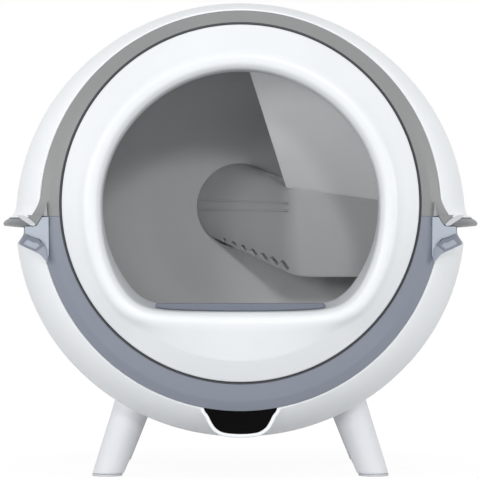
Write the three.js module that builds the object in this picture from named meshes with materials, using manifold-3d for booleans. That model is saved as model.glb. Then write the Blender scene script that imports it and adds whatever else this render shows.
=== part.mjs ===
// A ball-shaped self cleaning litter box on four splayed legs.
// Millimetres, +Z up, front towards -Y, origin on the floor under the middle of the casing.
// The drum turns about the front-back axis; drum pieces are modelled about that axis.
import * as THREE from 'three'
import { mergeVertices } from 'three/addons/utils/BufferGeometryUtils.js'
import Module from 'manifold-3d'

const wasm = await Module()
wasm.setup()

// Clearances and cutting allowances
const seatGap = 0.3
const runningGap = 1.2
const overrun = 5
const weldTolerance = 0.0005

// Facets round small parts, round the smallest bores and round each corner of an outline
const roundSides = 20
const boreSides = 12
const cornerSegments = 6

// Casing: a rounded barrel whose front is cut flat and whose rear is a flattened dome
const casing = {
  halfWidth: 265,
  halfHeight: 255.3,
  bottomHeight: 43.2,
  frontSideInset: 35.5,
  frontTopInset: 25.8,
  frontRise: 36.6,
  frontY: -213,
  rearY: 236,
  domeFlat: 7,
  wall: 4,
  splitRise: 4.6,
}
const casingFullnessShares = { front: 4, rear: 4.5 }
const casingStationShares = [1, 0.93, 0.84, 0.7, 0.47, 0, -0.42, -0.64, -0.8, -0.92, -1]
const casingSides = 44

// Front circle of the casing, its middle heights and the full depth of its rear dome
const frontRadius = Math.min(
  casing.halfWidth - casing.frontSideInset, casing.halfHeight - casing.frontTopInset)
const frontCentre = casing.bottomHeight + casing.frontRise + frontRadius
const casingCentre = casing.bottomHeight + casing.halfHeight
const splitHeight = casingCentre + casing.splitRise
const domeDepth = casing.rearY + casing.domeFlat

// Drum: a shallow barrel about the front-back axis, its radii drawn in from the front circle of the casing
const drum = {
  axisRise: 8.4,
  frontY: -221.4,
  frontInset: 30.5,
  frontTrackStart: -190,
  frontTrackEnd: -155,
  frontTrackInset: 23.5,
  bellyStart: -95,
  bellyInset: 17,
  seamY: -10,
  rearTrackStart: 29,
  rearTrackEnd: 57,
  rearTrackInset: 20.5,
  shoulderY: 70,
  shoulderInset: 30.5,
  seatInset: 39.5,
  seatEnd: 86.6,
  rearY: 118,
  wall: 3,
}
const drumAxis = frontCentre + drum.axisRise
const drumRadius = {
  front: frontRadius - drum.frontInset,
  frontTrack: frontRadius - drum.frontTrackInset,
  belly: frontRadius - drum.bellyInset,
  rearTrack: frontRadius - drum.rearTrackInset,
  shoulder: frontRadius - drum.shoulderInset,
  seat: frontRadius - drum.seatInset,
}
const drumSides = 40

// Rounded back of the drum: share of the seat radius, share of the way from the seat to the rear
const drumBackShares = [[0.955, 0.2], [0.85, 0.68], [0.67, 1]]

// Entry: a circle with a flat bottom and large rounded corners, drawn in from the front circle
const entry = {
  sideInset: 72.9,
  topInset: 79.5,
  bottomInset: 106.8,
}
const entryHalfWidth = frontRadius - entry.sideInset
const entryTop = frontRadius - entry.topInset
const entryBottom = frontRadius - entry.bottomInset
const entryFullnessShares = { upper: 1.95, lower: 2.3 }
const entryCornerShare = 16
const entrySides = 60

// White ring round the entry
const ring = {
  outerInset: 28.5,
  shoulderInset: 51.5,
  backY: -221.7,
  rimY: -226,
  shoulderY: -241,
  crestY: -250,
  crestWidth: 17,
  lipWidth: 6,
  wall: 3,
}
const ringOuter = frontRadius - ring.outerInset

// Liner and litter sill inside the entry
const sleeve = {
  lipClearance: 0.4,
  length: 34,
  wall: 2.4,
  cornerNarrowing: 7,
  narrowing: 2,
}
const sill = {
  height: 10.7,
  halfWidth: 97,
  thickness: 4,
  setBack: 3,
}

// Front surround, split into a cover half and a base half
const surround = {
  innerInset: 25,
  outerInset: 2.1,
  innerY: -222,
  creaseY: -219.5,
  outerY: -216.3,
  creaseWidth: 11,
  sleeveDepth: 20,
  wall: 3,
  coverFlare: 11,
  coverFlareFade: 26,
  baseFlare: 13,
  baseFlareFade: 26,
}
const surroundSides = 56
const surroundInnerRadius = frontRadius - surround.innerInset
const surroundOuterRadius = frontRadius - surround.outerInset

// Lifting brim of the cover and finger ledge of the base, along both sides
const brim = {
  rearY: 165,
  height: 11.8,
  reach: 15,
  rootInset: 8,
  topReach: 0.9,
  shoulderReach: 8.5,
  shoulderDrop: 2.2,
  noseReach: 12.8,
  noseDrop: 5.6,
  tipDrop: 9,
}
const ledge = {
  wallInset: 9.2,
  wallThickness: 4,
  grooveHeight: 8.4,
  shelfInset: 1.8,
  shelfHeight: 10.6,
  skirtHeight: 12.4,
  skirtInset: 2.6,
}
const brimStationShares = [0, 0.12, 0.28, 0.46, 0.64, 0.82, 1]

// Gear train: toothed ring on the drum and a small pinion below it
const gear = {
  pitchRise: 10,
  ringAddendum: 3.4,
  ringDedendum: 5,
  pinionAddendum: 4,
  pinionDedendum: 4.4,
  faceWidth: 15.6,
  pinionWidth: 13,
}
const ringTeeth = 100
const gearModule = 2 * (drumRadius.seat + gear.pitchRise) / ringTeeth
const pinionTeeth = 12
const toothThicknessShare = 0.45
const pressureAngle = THREE.MathUtils.degToRad(20)
const pinionAngle = THREE.MathUtils.degToRad(32)

// Support rollers under the drum
const roller = {
  radius: 16,
  width: 23,
  edge: 1.5,
  axleRadius: 4,
  axleOverhang: 3,
  cheekThickness: 3,
  cheekHalfWidth: 12,
  cheekTop: 9,
  cheekDrop: 65,
  floorPlate: 3,
}
const rollerAngle = THREE.MathUtils.degToRad(32)

// Motor with its gearbox, carried by a plate that stands on the floor of the base
const motor = {
  shaftRadius: 5,
  boxGap: 4,
  boxDepth: 21,
  boxRadius: 22,
  canX: -74,
  canRise: 55.5,
  canRadius: 16,
  canLength: 56,
  plateThickness: 3,
  plateMargin: 8,
}

// Scoop, sieve and baffle inside the drum, from the axis of the drum
const scoop = {
  plateY: 5,
  thickness: 3.5,
  kneeX: 56,
  kneeHeight: 21,
  toeX: 70.7,
  toeHeight: -85.7,
  wallReach: 240,
  wallRise: -3,
  portRadius: 50.3,
  portY: 112,
  slotWidth: 4.2,
  slotLength: 9,
  slotMargin: 7.5,
}
const scoopSlots = 7
const wingColumns = 6
const baffleColumns = 4
const sheetRows = 8
const portStartAngle = THREE.MathUtils.degToRad(228)
const portEndAngle = THREE.MathUtils.degToRad(90)
const slotTilt = THREE.MathUtils.degToRad(-30)
const baffle = {
  topX: -6,
  topHeight: 207,
  topY: -145,
  bulge: 12,
}
const sieve = {
  thickness: 3,
  barWidth: 5,
  slotWidth: 7,
  margin: 9,
}

// Round port at the rear of the drum
const port = {
  boreRadius: 51,
  wall: 4.5,
  flangeRadius: 63,
  flangeThickness: 3,
  length: 40,
}

// Wall behind the drum, and the waste drawer behind that wall
const bulkhead = {
  frontY: 134,
  thickness: 3,
}
const bin = {
  frontGap: 4,
  halfWidth: 114,
  bottomRise: 66.5,
  topRise: 207.5,
  cornerRadius: 48,
  topCornerRadius: 10,
  wall: 2.5,
  fasciaGap: 1.2,
  tubInset: 3,
  shelfThickness: 3,
  shelfHalfWidth: 150,
}
const handle = {
  halfWidth: 50,
  height: 26,
  depth: 13.7,
  wall: 3,
  topRise: 192.5,
  cornerRadius: 12,
}

// Legs and foot pads
const leg = {
  footX: 156,
  footY: 104,
  footRadius: 16.9,
  topRadius: 25.8,
  length: 140,
}
const legSplay = THREE.MathUtils.degToRad(19.5)
const legRake = THREE.MathUtils.degToRad(9)
const pad = {
  radius: 18.6,
  height: 2.6,
}

// Display pod under the surround
const pod = {
  halfWidth: 42,
  bottomRise: 14.2,
  topRise: 42.9,
  rim: 2.8,
  backY: -42,
  cavityBackY: -150,
  panelSetBack: 0.6,
  panelThickness: 3,
}

// Right half of the display window, from its top corner down: shares of half its width and of its height
const podOutlineShares = [
  [1, 1],
  [0.96, 0.847],
  [0.871, 0.686],
  [0.786, 0.449],
  [0.662, 0.213],
  [0.44, 0.052],
  [0, 0],
]

// Electronics
const board = {
  y: -190,
  thickness: 1.6,
  halfWidth: 46,
  topRise: 60.5,
}
const inlet = {
  x: 155,
  rise: 158.5,
  radius: 9,
  boreRadius: 3.4,
  boreDepth: 14,
  pinRadius: 1,
  setBack: 4,
  length: 26,
}

// Heights of what the casing carries, and the rear end of the inlet
const podBottom = casing.bottomHeight + pod.bottomRise
const podTop = casing.bottomHeight + pod.topRise
const binBottom = casing.bottomHeight + bin.bottomRise
const binTop = casing.bottomHeight + bin.topRise
const handleTop = casing.bottomHeight + handle.topRise
const canHeight = casing.bottomHeight + motor.canRise
const inletHeight = casing.bottomHeight + inlet.rise
const inletRearY = casing.rearY - inlet.setBack

// Finishes
function finish(color, roughness, metalness = 0) {
  return new THREE.MeshStandardMaterial({ color, roughness, metalness })
}
const finishes = {
  white: finish(0xf3f5f7, 0.32),
  ringWhite: finish(0xf6f7f8, 0.28),
  grey: finish(0x9a9b9b, 0.42),
  blueGrey: finish(0x868b99, 0.42),
  drumGrey: finish(0x8f9091, 0.5),
  scoopGrey: finish(0xc4c5c6, 0.48),
  linerGrey: finish(0xc9cbcd, 0.45),
  black: finish(0x0b0c0d, 0.08),
  nylon: finish(0xd9d8d2, 0.5),
  rubber: finish(0x4a4c4f, 0.85),
  steel: finish(0xb4b7ba, 0.3, 1),
  zinc: finish(0xa9adb0, 0.4, 1),
  motorCan: finish(0x8e9296, 0.35, 1),
  boardGreen: finish(0x1f5a3a, 0.5),
  pad: finish(0xc6c9cb, 0.8),
}

// Signed volume of a triangle mesh, positive where its faces point out
function signedVolume(position, index) {
  const a = new THREE.Vector3()
  const b = new THREE.Vector3()
  const c = new THREE.Vector3()
  let total = 0
  for (let i = 0; i < index.length; i += 3) {
    a.fromBufferAttribute(position, index[i])
    b.fromBufferAttribute(position, index[i + 1])
    c.fromBufferAttribute(position, index[i + 2])
    total += a.dot(b.cross(c))
  }
  return total
}

// Closed geometry to a solid: shared corners merged, lost faces dropped, faces turned outward
function solid(geometry) {
  const bare = geometry.clone()
  bare.deleteAttribute('normal')
  bare.deleteAttribute('uv')
  const merged = mergeVertices(bare, weldTolerance)
  const position = merged.getAttribute('position')
  const source = merged.index.array
  const kept = []
  for (let i = 0; i < source.length; i += 3) {
    const [a, b, c] = source.slice(i, i + 3)
    if (a !== b && b !== c && c !== a) kept.push(a, b, c)
  }
  if (signedVolume(position, kept) < 0) kept.reverse()
  return new wasm.Manifold(new wasm.Mesh({
    numProp: 3,
    vertProperties: Float32Array.from(position.array),
    triVerts: Uint32Array.from(kept),
  }))
}

// Solid back to a drawable geometry
function drawable(body) {
  const mesh = body.getMesh()
  const geometry = new THREE.BufferGeometry()
  geometry.setAttribute('position', new THREE.Float32BufferAttribute(mesh.vertProperties, 3))
  geometry.setIndex([...mesh.triVerts])
  geometry.computeVertexNormals()
  return geometry
}

// One named piece
function piece(name, body, material) {
  const mesh = new THREE.Mesh(drawable(body), material)
  mesh.name = name
  return mesh
}

// Faces over a flat loop whose corners turn sharply, following the order of the loop
function outlineCap(loop) {
  const size = new THREE.Box3().setFromPoints(loop).getSize(new THREE.Vector3())
  const [u, v] = size.y < size.x && size.y < size.z ? ['x', 'z'] : ['y', 'z']
  const outline = loop.map((point) => new THREE.Vector2(point[u], point[v]))
  const turn = THREE.ShapeUtils.area(outline)
  return THREE.ShapeUtils.triangulateShape(outline, []).map(([a, b, c]) => {
    const own = THREE.ShapeUtils.area([outline[a], outline[b], outline[c]])
    return own * turn > 0 ? [a, b, c] : [a, c, b]
  })
}

// Faces over a loop made of two facing runs of points, as the rungs of a ladder
function ladderCap(loop) {
  const last = loop.length - 1
  const rungs = loop.length / 2 - 1
  return Array.from({ length: rungs }, (_, i) => [
    [i, i + 1, last - i - 1],
    [i, last - i - 1, last - i],
  ]).flat()
}

// Skin over a row of loops with the same number of points; without a cap the row closes on itself
function loft(loops, cap = null) {
  const count = loops[0].length
  const positions = loops.flat().flatMap((point) => [point.x, point.y, point.z])
  const index = []
  const rows = cap ? loops.length - 1 : loops.length
  for (let row = 0; row < rows; row += 1) {
    const next = (row + 1) % loops.length
    for (let i = 0; i < count; i += 1) {
      const j = (i + 1) % count
      const corner = row * count + i
      const across = next * count + j
      index.push(corner, row * count + j, across)
      index.push(corner, across, next * count + i)
    }
  }
  if (cap) {
    const final = (loops.length - 1) * count
    index.push(...cap(loops[0]).flatMap(([a, b, c]) => [a, c, b]))
    index.push(...cap(loops[loops.length - 1]).flat().map((i) => final + i))
  }
  const geometry = new THREE.BufferGeometry()
  geometry.setAttribute('position', new THREE.Float32BufferAttribute(positions, 3))
  geometry.setIndex(index)
  return geometry
}

// Prism of a front-view outline (x, z), from one y to another
function prismY(shape, fromY, toY, curveSegments = 12) {
  const settings = { depth: toY - fromY, bevelEnabled: false, curveSegments }
  const geometry = new THREE.ExtrudeGeometry(shape, settings)
  return solid(geometry.rotateX(Math.PI / 2).translate(0, toY, 0))
}

// Block between two corners
function block(low, high) {
  const size = high.clone().sub(low)
  const middle = high.clone().add(low).multiplyScalar(0.5)
  return solid(new THREE.BoxGeometry(size.x, size.y, size.z).translate(middle.x, middle.y, middle.z))
}

// Round bar along the front-back direction
function barY(x, z, radius, fromY, toY, sides = roundSides) {
  const geometry = new THREE.CylinderGeometry(radius, radius, toY - fromY, sides)
  return solid(geometry.translate(x, (fromY + toY) / 2, z))
}

function shapeOf(points) {
  return new THREE.Shape(points.map(([x, y]) => new THREE.Vector2(x, y)))
}

// Revolved solid about the front-back axis from closed profile points of radius and y
function revolve(profile, sides) {
  const points = [...profile, profile[0]].map(([radius, y]) => new THREE.Vector2(radius, y))
  return solid(new THREE.LatheGeometry(points, sides))
}

// The same open line moved sideways by a distance
function offsetLine(points, distance) {
  return points.map((point, i) => {
    const before = points[Math.max(i - 1, 0)]
    const after = points[Math.min(i + 1, points.length - 1)]
    const along = new THREE.Vector2(after[0] - before[0], after[1] - before[1]).normalize()
    return [point[0] - along.y * distance, point[1] + along.x * distance]
  })
}

// Share of the full casing section at a distance from its middle
function fullness(share, exponent) {
  return (1 - Math.abs(share) ** exponent) ** (1 / exponent)
}

// Half-width, half-height and centre height of the casing at one y, moved inward by an inset
function casingSection(y, inset) {
  const frontShare = frontRadius / casing.halfWidth
  const frontReach = 1 - frontShare ** casingFullnessShares.front
  const frontDepth = Math.abs(casing.frontY) / frontReach ** (1 / casingFullnessShares.front)
  if (y < 0) {
    const size = fullness(Math.max(y, casing.frontY) / frontDepth, casingFullnessShares.front)
    const blend = (1 - size) / (1 - frontShare)
    return {
      halfWidth: casing.halfWidth * size - inset,
      halfHeight: THREE.MathUtils.lerp(casing.halfHeight, frontRadius, blend) - inset,
      centre: THREE.MathUtils.lerp(casingCentre, frontCentre, blend),
    }
  }
  const size = fullness(y / (domeDepth - inset), casingFullnessShares.rear)
  return {
    halfWidth: (casing.halfWidth - inset) * size,
    halfHeight: (casing.halfHeight - inset) * size,
    centre: casingCentre,
  }
}

function casingLoop(y, inset) {
  const section = casingSection(y, inset)
  return Array.from({ length: casingSides }, (_, i) => {
    const angle = (i + 0.5) * 2 * Math.PI / casingSides
    const x = section.halfWidth * Math.cos(angle)
    const z = section.centre + section.halfHeight * Math.sin(angle)
    return new THREE.Vector3(x, y, z)
  })
}

// Solid body of the casing, moved inward by an inset; an open front runs on past the front plane
function casingBody(inset, opensFront = false) {
  const ys = casingStationShares.map((share) => {
    const reach = share > 0 ? casing.rearY - inset : -casing.frontY
    return share * reach
  })
  const loops = ys.map((y) => casingLoop(y, inset))
  if (opensFront) {
    const front = loops[loops.length - 1]
    loops.push(front.map((point) => point.clone().setY(casing.frontY - overrun)))
  }
  return solid(loft(loops, ladderCap))
}

const casingOuter = casingBody(0)
const casingSeat = casingBody(-seatGap, true)
const casingInner = casingBody(casing.wall, true)
const casingInnerSeat = casingBody(casing.wall + seatGap, true)
const casingShell = casingOuter.subtract(casingInner)
const casingSkin = casingOuter.subtract(casingInnerSeat)

// Everything above or below a height, as a block wide enough for the whole casing
function slab(fromZ, toZ) {
  const reach = casing.halfWidth + brim.reach + overrun
  const low = new THREE.Vector3(-reach, casing.frontY - reach, fromZ)
  const high = new THREE.Vector3(reach, casing.rearY + reach, toZ)
  return block(low, high)
}
const casingTop = casingCentre + casing.halfHeight
const aboveAll = casingTop + overrun
const belowAll = -overrun

// Heights that the cover, the brim, the ledge and the groove share
const brimTop = splitHeight
const brimBottom = brimTop - brim.height
const ledgeTop = brimBottom - seatGap
const grooveBottom = ledgeTop - ledge.grooveHeight
const shelfBottom = grooveBottom - ledge.shelfHeight
const brimFrontY = casing.frontY + seatGap

// Distance from the drum axis to the outer edge of the surround in one direction
function surroundOuter(angle, radius) {
  const drop = drumAxis - frontCentre
  const rise = Math.sin(angle)
  return -drop * rise + Math.sqrt(radius ** 2 - (drop * Math.cos(angle)) ** 2)
}

// Extra width of the surround near the split
function flare(height, covers) {
  if (covers) {
    const away = (height - splitHeight) / surround.coverFlareFade
    return surround.coverFlare * Math.max(0, 1 - Math.max(away, 0)) ** 2
  }
  const away = (shelfBottom - height) / surround.baseFlareFade
  return surround.baseFlare * Math.max(0, 1 - Math.max(away, 0)) ** 2
}

function surroundRing(covers) {
  const backStep = surround.outerY - (casing.frontY - seatGap)
  const sleeveRadius = surroundInnerRadius + surround.wall
  const loops = Array.from({ length: surroundSides }, (_, i) => {
    const angle = (i + 0.5) * 2 * Math.PI / surroundSides
    const plain = surroundOuter(angle, surroundOuterRadius)
    const height = drumAxis + plain * Math.sin(angle)
    const outer = plain + flare(height, covers)
    const crease = plain - surround.creaseWidth
    const profile = [
      [surroundInnerRadius, surround.innerY],
      [crease, surround.creaseY],
      [outer, surround.outerY],
      [outer, surround.outerY - backStep],
      [sleeveRadius, surround.innerY + surround.wall],
      [sleeveRadius, surround.innerY + surround.sleeveDepth],
      [surroundInnerRadius, surround.innerY + surround.sleeveDepth],
    ]
    return profile.map(([radius, y]) => {
      const x = radius * Math.cos(angle)
      return new THREE.Vector3(x, y, drumAxis + radius * Math.sin(angle))
    })
  })
  return solid(loft(loops))
}

function coverSurround() {
  return surroundRing(true).intersect(slab(splitHeight, aboveAll))
}

function baseSurround() {
  const whole = surroundRing(false).intersect(slab(belowAll, splitHeight - seatGap))
  const reach = casing.halfWidth + brim.reach
  let trimmed = whole
  for (const side of [-1, 1]) {
    const edges = [side * surroundOuterRadius, side * reach].sort((a, b) => a - b)
    const low = new THREE.Vector3(edges[0], surround.innerY - overrun, ledgeTop)
    const high = new THREE.Vector3(edges[1], brimFrontY + overrun, aboveAll)
    trimmed = trimmed.subtract(block(low, high))
  }
  return trimmed
}

// Band along one side of the casing: a section of (reach, height) points that follows its plan
function sideBand(side, section) {
  const loops = brimStationShares.map((share) => {
    const y = THREE.MathUtils.lerp(brimFrontY, brim.rearY, share)
    const edge = casingSection(y, 0).halfWidth
    return section.map(([reach, height]) => new THREE.Vector3(side * (edge + reach), y, height))
  })
  return solid(loft(loops, outlineCap))
}

function coverBrim(side) {
  return sideBand(side, [
    [-brim.rootInset, brimTop],
    [brim.topReach, brimTop],
    [brim.shoulderReach, brimTop - brim.shoulderDrop],
    [brim.noseReach, brimTop - brim.noseDrop],
    [brim.reach, brimTop - brim.tipDrop],
    [brim.noseReach, brimBottom],
    [-brim.rootInset, brimBottom],
  ])
}

function baseLedge(side) {
  const inner = ledge.wallInset + ledge.wallThickness
  const shelf = shelfBottom + seatGap
  const skirtBottom = shelfBottom - ledge.skirtHeight
  const band = sideBand(side, [
    [-inner, ledgeTop],
    [-ledge.wallInset, ledgeTop],
    [-ledge.wallInset, grooveBottom],
    [-ledge.shelfInset, shelf],
    [-casing.wall, shelf],
    [-casing.wall - ledge.skirtInset, skirtBottom],
    [-inner, skirtBottom],
  ])
  return band.subtract(casingSkin.intersect(slab(belowAll, shelf)))
}

function upperCover() {
  return casingShell.intersect(slab(splitHeight + seatGap, aboveAll))
}

// Outline of the display window, grown by a margin; the curve runs down one side and up the other
function podShape(margin) {
  const half = podOutlineShares.map(([widthShare, heightShare]) => new THREE.Vector2(
    pod.halfWidth * widthShare, THREE.MathUtils.lerp(podBottom, podTop, heightShare)))
  const curve = new THREE.SplineCurve([
    ...half,
    ...half.slice(0, -1).reverse().map((point) => new THREE.Vector2(-point.x, point.y)),
  ])
  const points = curve.getPoints(podOutlineShares.length * 3)
  return shapeOf(offsetLine(points.map((point) => [point.x, point.y]), margin))
}

// Outline of the waste drawer, drawn in from the hole in the casing by an inset
function binShape(inset) {
  const right = bin.halfWidth - inset
  const bottom = binBottom + inset
  const top = binTop - inset
  const low = bin.cornerRadius
  const high = bin.topCornerRadius
  const shape = new THREE.Shape()
  shape.moveTo(-right + low, bottom)
  shape.lineTo(right - low, bottom)
  shape.absarc(right - low, bottom + low, low, -Math.PI / 2, 0)
  shape.lineTo(right, top - high)
  shape.absarc(right - high, top - high, high, 0, Math.PI / 2)
  shape.lineTo(-right + high, top)
  shape.absarc(-right + high, top - high, high, Math.PI / 2, Math.PI)
  shape.lineTo(-right, bottom + low)
  shape.absarc(-right + low, bottom + low, low, Math.PI, 3 * Math.PI / 2)
  return shape
}

function baseShell() {
  const lower = casingShell.intersect(slab(belowAll, splitHeight))
  const reach = casing.halfWidth + brim.reach
  const grooveLow = new THREE.Vector3(-reach, casing.frontY - overrun, shelfBottom)
  const grooveHigh = new THREE.Vector3(reach, brim.rearY + seatGap, aboveAll)
  const display = prismY(podShape(pod.rim), casing.frontY, pod.backY).subtract(casingInner)
  const window = prismY(podShape(0), casing.frontY - overrun, pod.cavityBackY)
  const drawer = prismY(binShape(0), domeDepth / 2, casing.rearY + overrun, cornerSegments)
  const socketRadius = inlet.radius + seatGap
  const socket = barY(inlet.x, inletHeight, socketRadius, inletRearY - inlet.length, casing.rearY)
  return lower
    .subtract(block(grooveLow, grooveHigh))
    .add(display.intersect(slab(belowAll, grooveBottom)))
    .subtract(window)
    .subtract(drawer)
    .subtract(socket)
}

function displayPanel() {
  const front = casing.frontY + pod.panelSetBack
  const window = prismY(podShape(-seatGap), front, front + pod.panelThickness)
  return window.intersect(slab(belowAll, podTop - seatGap))
}

// Drum shells: an outer line from front to rear and the same line moved inward
function drumShell(line) {
  return revolve([...line, ...offsetLine(line, drum.wall).reverse()], drumSides)
}

function drumFrontShell() {
  return drumShell([
    [drumRadius.front, drum.frontY],
    [drumRadius.frontTrack, drum.frontTrackStart],
    [drumRadius.frontTrack, drum.frontTrackEnd],
    [drumRadius.belly, drum.bellyStart],
    [drumRadius.belly, drum.seamY - seatGap / 2],
  ])
}

const drumBack = drumBackShares.map(([radiusShare, depthShare]) => [
  drumRadius.seat * radiusShare,
  THREE.MathUtils.lerp(drum.seatEnd, drum.rearY, depthShare),
])

function drumRearLine() {
  return [
    [drumRadius.belly, drum.seamY + seatGap / 2],
    [drumRadius.rearTrack, drum.rearTrackStart],
    [drumRadius.rearTrack, drum.rearTrackEnd],
    [drumRadius.shoulder, drum.shoulderY],
    [drumRadius.seat, drum.shoulderY],
    [drumRadius.seat, drum.seatEnd],
    ...drumBack,
    [port.boreRadius + port.wall + seatGap, drum.rearY],
  ]
}

// The rear shell steps in behind its shoulder to seat the toothed ring
function drumRearShell() {
  return drumShell(drumRearLine())
}

// Space inside the drum, drawn in by the wall and a clearance, for fitting what it holds
function drumCavity() {
  const front = [
    [drumRadius.front, drum.frontY],
    [drumRadius.frontTrack, drum.frontTrackStart],
    [drumRadius.frontTrack, drum.frontTrackEnd],
    [drumRadius.belly, drum.bellyStart],
  ]
  const line = offsetLine([...front, ...drumRearLine()], drum.wall + seatGap)
  const rear = line[line.length - 1]
  return revolve([[0, line[0][1]], ...line, [0, rear[1]]], drumSides)
}

// Radius of the entry in one direction from the axis
function entryRadius(angle) {
  const rise = Math.sin(angle)
  const power = rise > 0 ? entryFullnessShares.upper : entryFullnessShares.lower
  const across = Math.abs(Math.cos(angle)) / entryHalfWidth
  const up = Math.abs(rise) / (rise > 0 ? entryTop : entryHalfWidth)
  const round = (across ** power + up ** power) ** (-1 / power)
  if (rise >= 0) return round
  const flat = entryBottom / -rise
  return (round ** -entryCornerShare + flat ** -entryCornerShare) ** (-1 / entryCornerShare)
}

// Closed ring whose profile depends on the direction from the axis
function entryLoft(profileAt, sides = entrySides) {
  const loops = Array.from({ length: sides }, (_, i) => {
    const angle = i * 2 * Math.PI / sides
    return profileAt(entryRadius(angle), angle).map(([radius, y]) => (
      new THREE.Vector3(radius * Math.cos(angle), y, radius * Math.sin(angle))
    ))
  })
  return solid(loft(loops))
}

function drumFrontRing() {
  return entryLoft((inner) => [
    [ringOuter, ring.backY],
    [ringOuter, ring.rimY],
    [Math.max(frontRadius - ring.shoulderInset, inner + ring.crestWidth + ring.lipWidth), ring.shoulderY],
    [inner + ring.crestWidth, ring.crestY],
    [inner + ring.lipWidth, ring.crestY + ring.wall / 2],
    [inner, ring.shoulderY],
    [inner, ring.rimY],
    [inner + ring.wall, ring.rimY],
    [inner + ring.crestWidth, ring.crestY + ring.wall],
    [ringOuter - ring.wall, ring.backY],
  ])
}

// The liner narrows towards its rear, most at the lower corners of the entry
function sleeveNarrowing(angle) {
  const lower = Math.max(0, -Math.sin(angle))
  const corner = Math.abs(Math.cos(angle)) * lower * 2
  return sleeve.narrowing + sleeve.cornerNarrowing * corner ** 2
}

function entrySleeve() {
  const front = ring.rimY + sleeve.lipClearance
  const rear = front + sleeve.length
  return entryLoft((inner, angle) => {
    const back = inner - sleeveNarrowing(angle)
    return [
      [inner, front],
      [inner + ring.wall, front],
      [back + sleeve.wall, rear],
      [back, rear],
    ]
  })
}

// Strip across the bottom of the entry, inside the liner
function litterSill() {
  const front = ring.rimY + sill.setBack
  const depthShare = (sill.setBack + sill.thickness) / sleeve.length
  const space = (angle) => entryRadius(angle) - sleeveNarrowing(angle) * depthShare - seatGap
  const outline = Array.from({ length: entrySides }, (_, i) => {
    const angle = i * 2 * Math.PI / entrySides
    return [space(angle) * Math.cos(angle), space(angle) * Math.sin(angle)]
  })
  const low = new THREE.Vector3(-sill.halfWidth, front - overrun, -entryBottom - overrun)
  const high = new THREE.Vector3(
    sill.halfWidth, front + sill.thickness + overrun, sill.height - entryBottom)
  return prismY(shapeOf(outline), front, front + sill.thickness).intersect(block(low, high))
}

// Half thickness angle of a tooth at one radius
function toothHalfAngle(teeth, radius) {
  const pitchRadius = gearModule * teeth / 2
  const baseRadius = pitchRadius * Math.cos(pressureAngle)
  const atPitch = toothThicknessShare * Math.PI / teeth
  const involute = (angle) => Math.tan(angle) - angle
  const here = Math.acos(Math.min(1, baseRadius / radius))
  return atPitch + involute(pressureAngle) - involute(here)
}

// Outline of a toothed wheel with one tooth centred on the first angle
function toothedOutline(teeth, radii, firstAngle) {
  const points = []
  for (let tooth = 0; tooth < teeth; tooth += 1) {
    const middle = firstAngle + tooth * 2 * Math.PI / teeth
    const rise = radii.map((radius) => [radius, middle - toothHalfAngle(teeth, radius)])
    const fall = [...radii].reverse().map((radius) => [radius, middle + toothHalfAngle(teeth, radius)])
    for (const [radius, angle] of [...rise, ...fall]) {
      points.push([radius * Math.cos(angle), radius * Math.sin(angle)])
    }
  }
  return shapeOf(points)
}

// Direction from the drum axis to the pinion, measured in the front view
const meshAngle = -Math.PI / 2 - pinionAngle
const ringPitchRadius = gearModule * ringTeeth / 2
const pinionPitchRadius = gearModule * pinionTeeth / 2
const gearSpacing = ringPitchRadius + pinionPitchRadius
const gearFrontY = drum.shoulderY + seatGap

function ringGear() {
  const radii = [ringPitchRadius - gear.ringDedendum, ringPitchRadius + gear.ringAddendum]
  const shape = toothedOutline(ringTeeth, radii, meshAngle)
  const bore = new THREE.Path()
  bore.absarc(0, 0, drumRadius.seat + seatGap, 0, 2 * Math.PI, true)
  shape.holes.push(bore)
  return prismY(shape, gearFrontY, gearFrontY + gear.faceWidth, drumSides)
}

const pinionX = gearSpacing * Math.cos(meshAngle)
const pinionHeight = drumAxis + gearSpacing * Math.sin(meshAngle)
const pinionFrontY = gearFrontY + (gear.faceWidth - gear.pinionWidth) / 2
const gearboxFrontY = gearFrontY + gear.faceWidth + motor.boxGap

function drivePinion() {
  const tip = pinionPitchRadius + gear.pinionAddendum
  const root = pinionPitchRadius - gear.pinionDedendum
  const facing = meshAngle + Math.PI + Math.PI / pinionTeeth
  const outline = toothedOutline(pinionTeeth, [root, pinionPitchRadius, tip], facing)
  const back = pinionFrontY + gear.pinionWidth
  const bore = barY(0, 0, motor.shaftRadius + seatGap, pinionFrontY - overrun, back + overrun)
  return prismY(outline, pinionFrontY, back).subtract(bore)
}

function outputShaft() {
  return barY(0, 0, motor.shaftRadius, pinionFrontY, gearboxFrontY + motor.boxDepth / 2)
}

// Rounded case between the pinion axis and the motor axis
function gearbox() {
  const start = new THREE.Vector2(pinionX, pinionHeight)
  const end = new THREE.Vector2(motor.canX, canHeight)
  const heading = Math.atan2(end.y - start.y, end.x - start.x)
  const shape = new THREE.Shape()
  shape.absarc(start.x, start.y, motor.boxRadius, heading + Math.PI / 2, heading + 3 * Math.PI / 2)
  shape.absarc(end.x, end.y, motor.boxRadius, heading - Math.PI / 2, heading + Math.PI / 2)
  const back = gearboxFrontY + motor.boxDepth
  const shaft = barY(pinionX, pinionHeight, motor.shaftRadius + seatGap, gearboxFrontY - overrun,
    gearboxFrontY + motor.boxDepth / 2 + seatGap)
  return prismY(shape, gearboxFrontY, back, cornerSegments).subtract(shaft)
}

function gearMotor() {
  const back = gearboxFrontY - seatGap
  const nose = motor.canRadius / 2
  const front = back - motor.canLength
  const can = barY(motor.canX, canHeight, motor.canRadius, front, back)
  return can.add(barY(motor.canX, canHeight, nose, front - nose, front + nose, boreSides))
}

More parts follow.
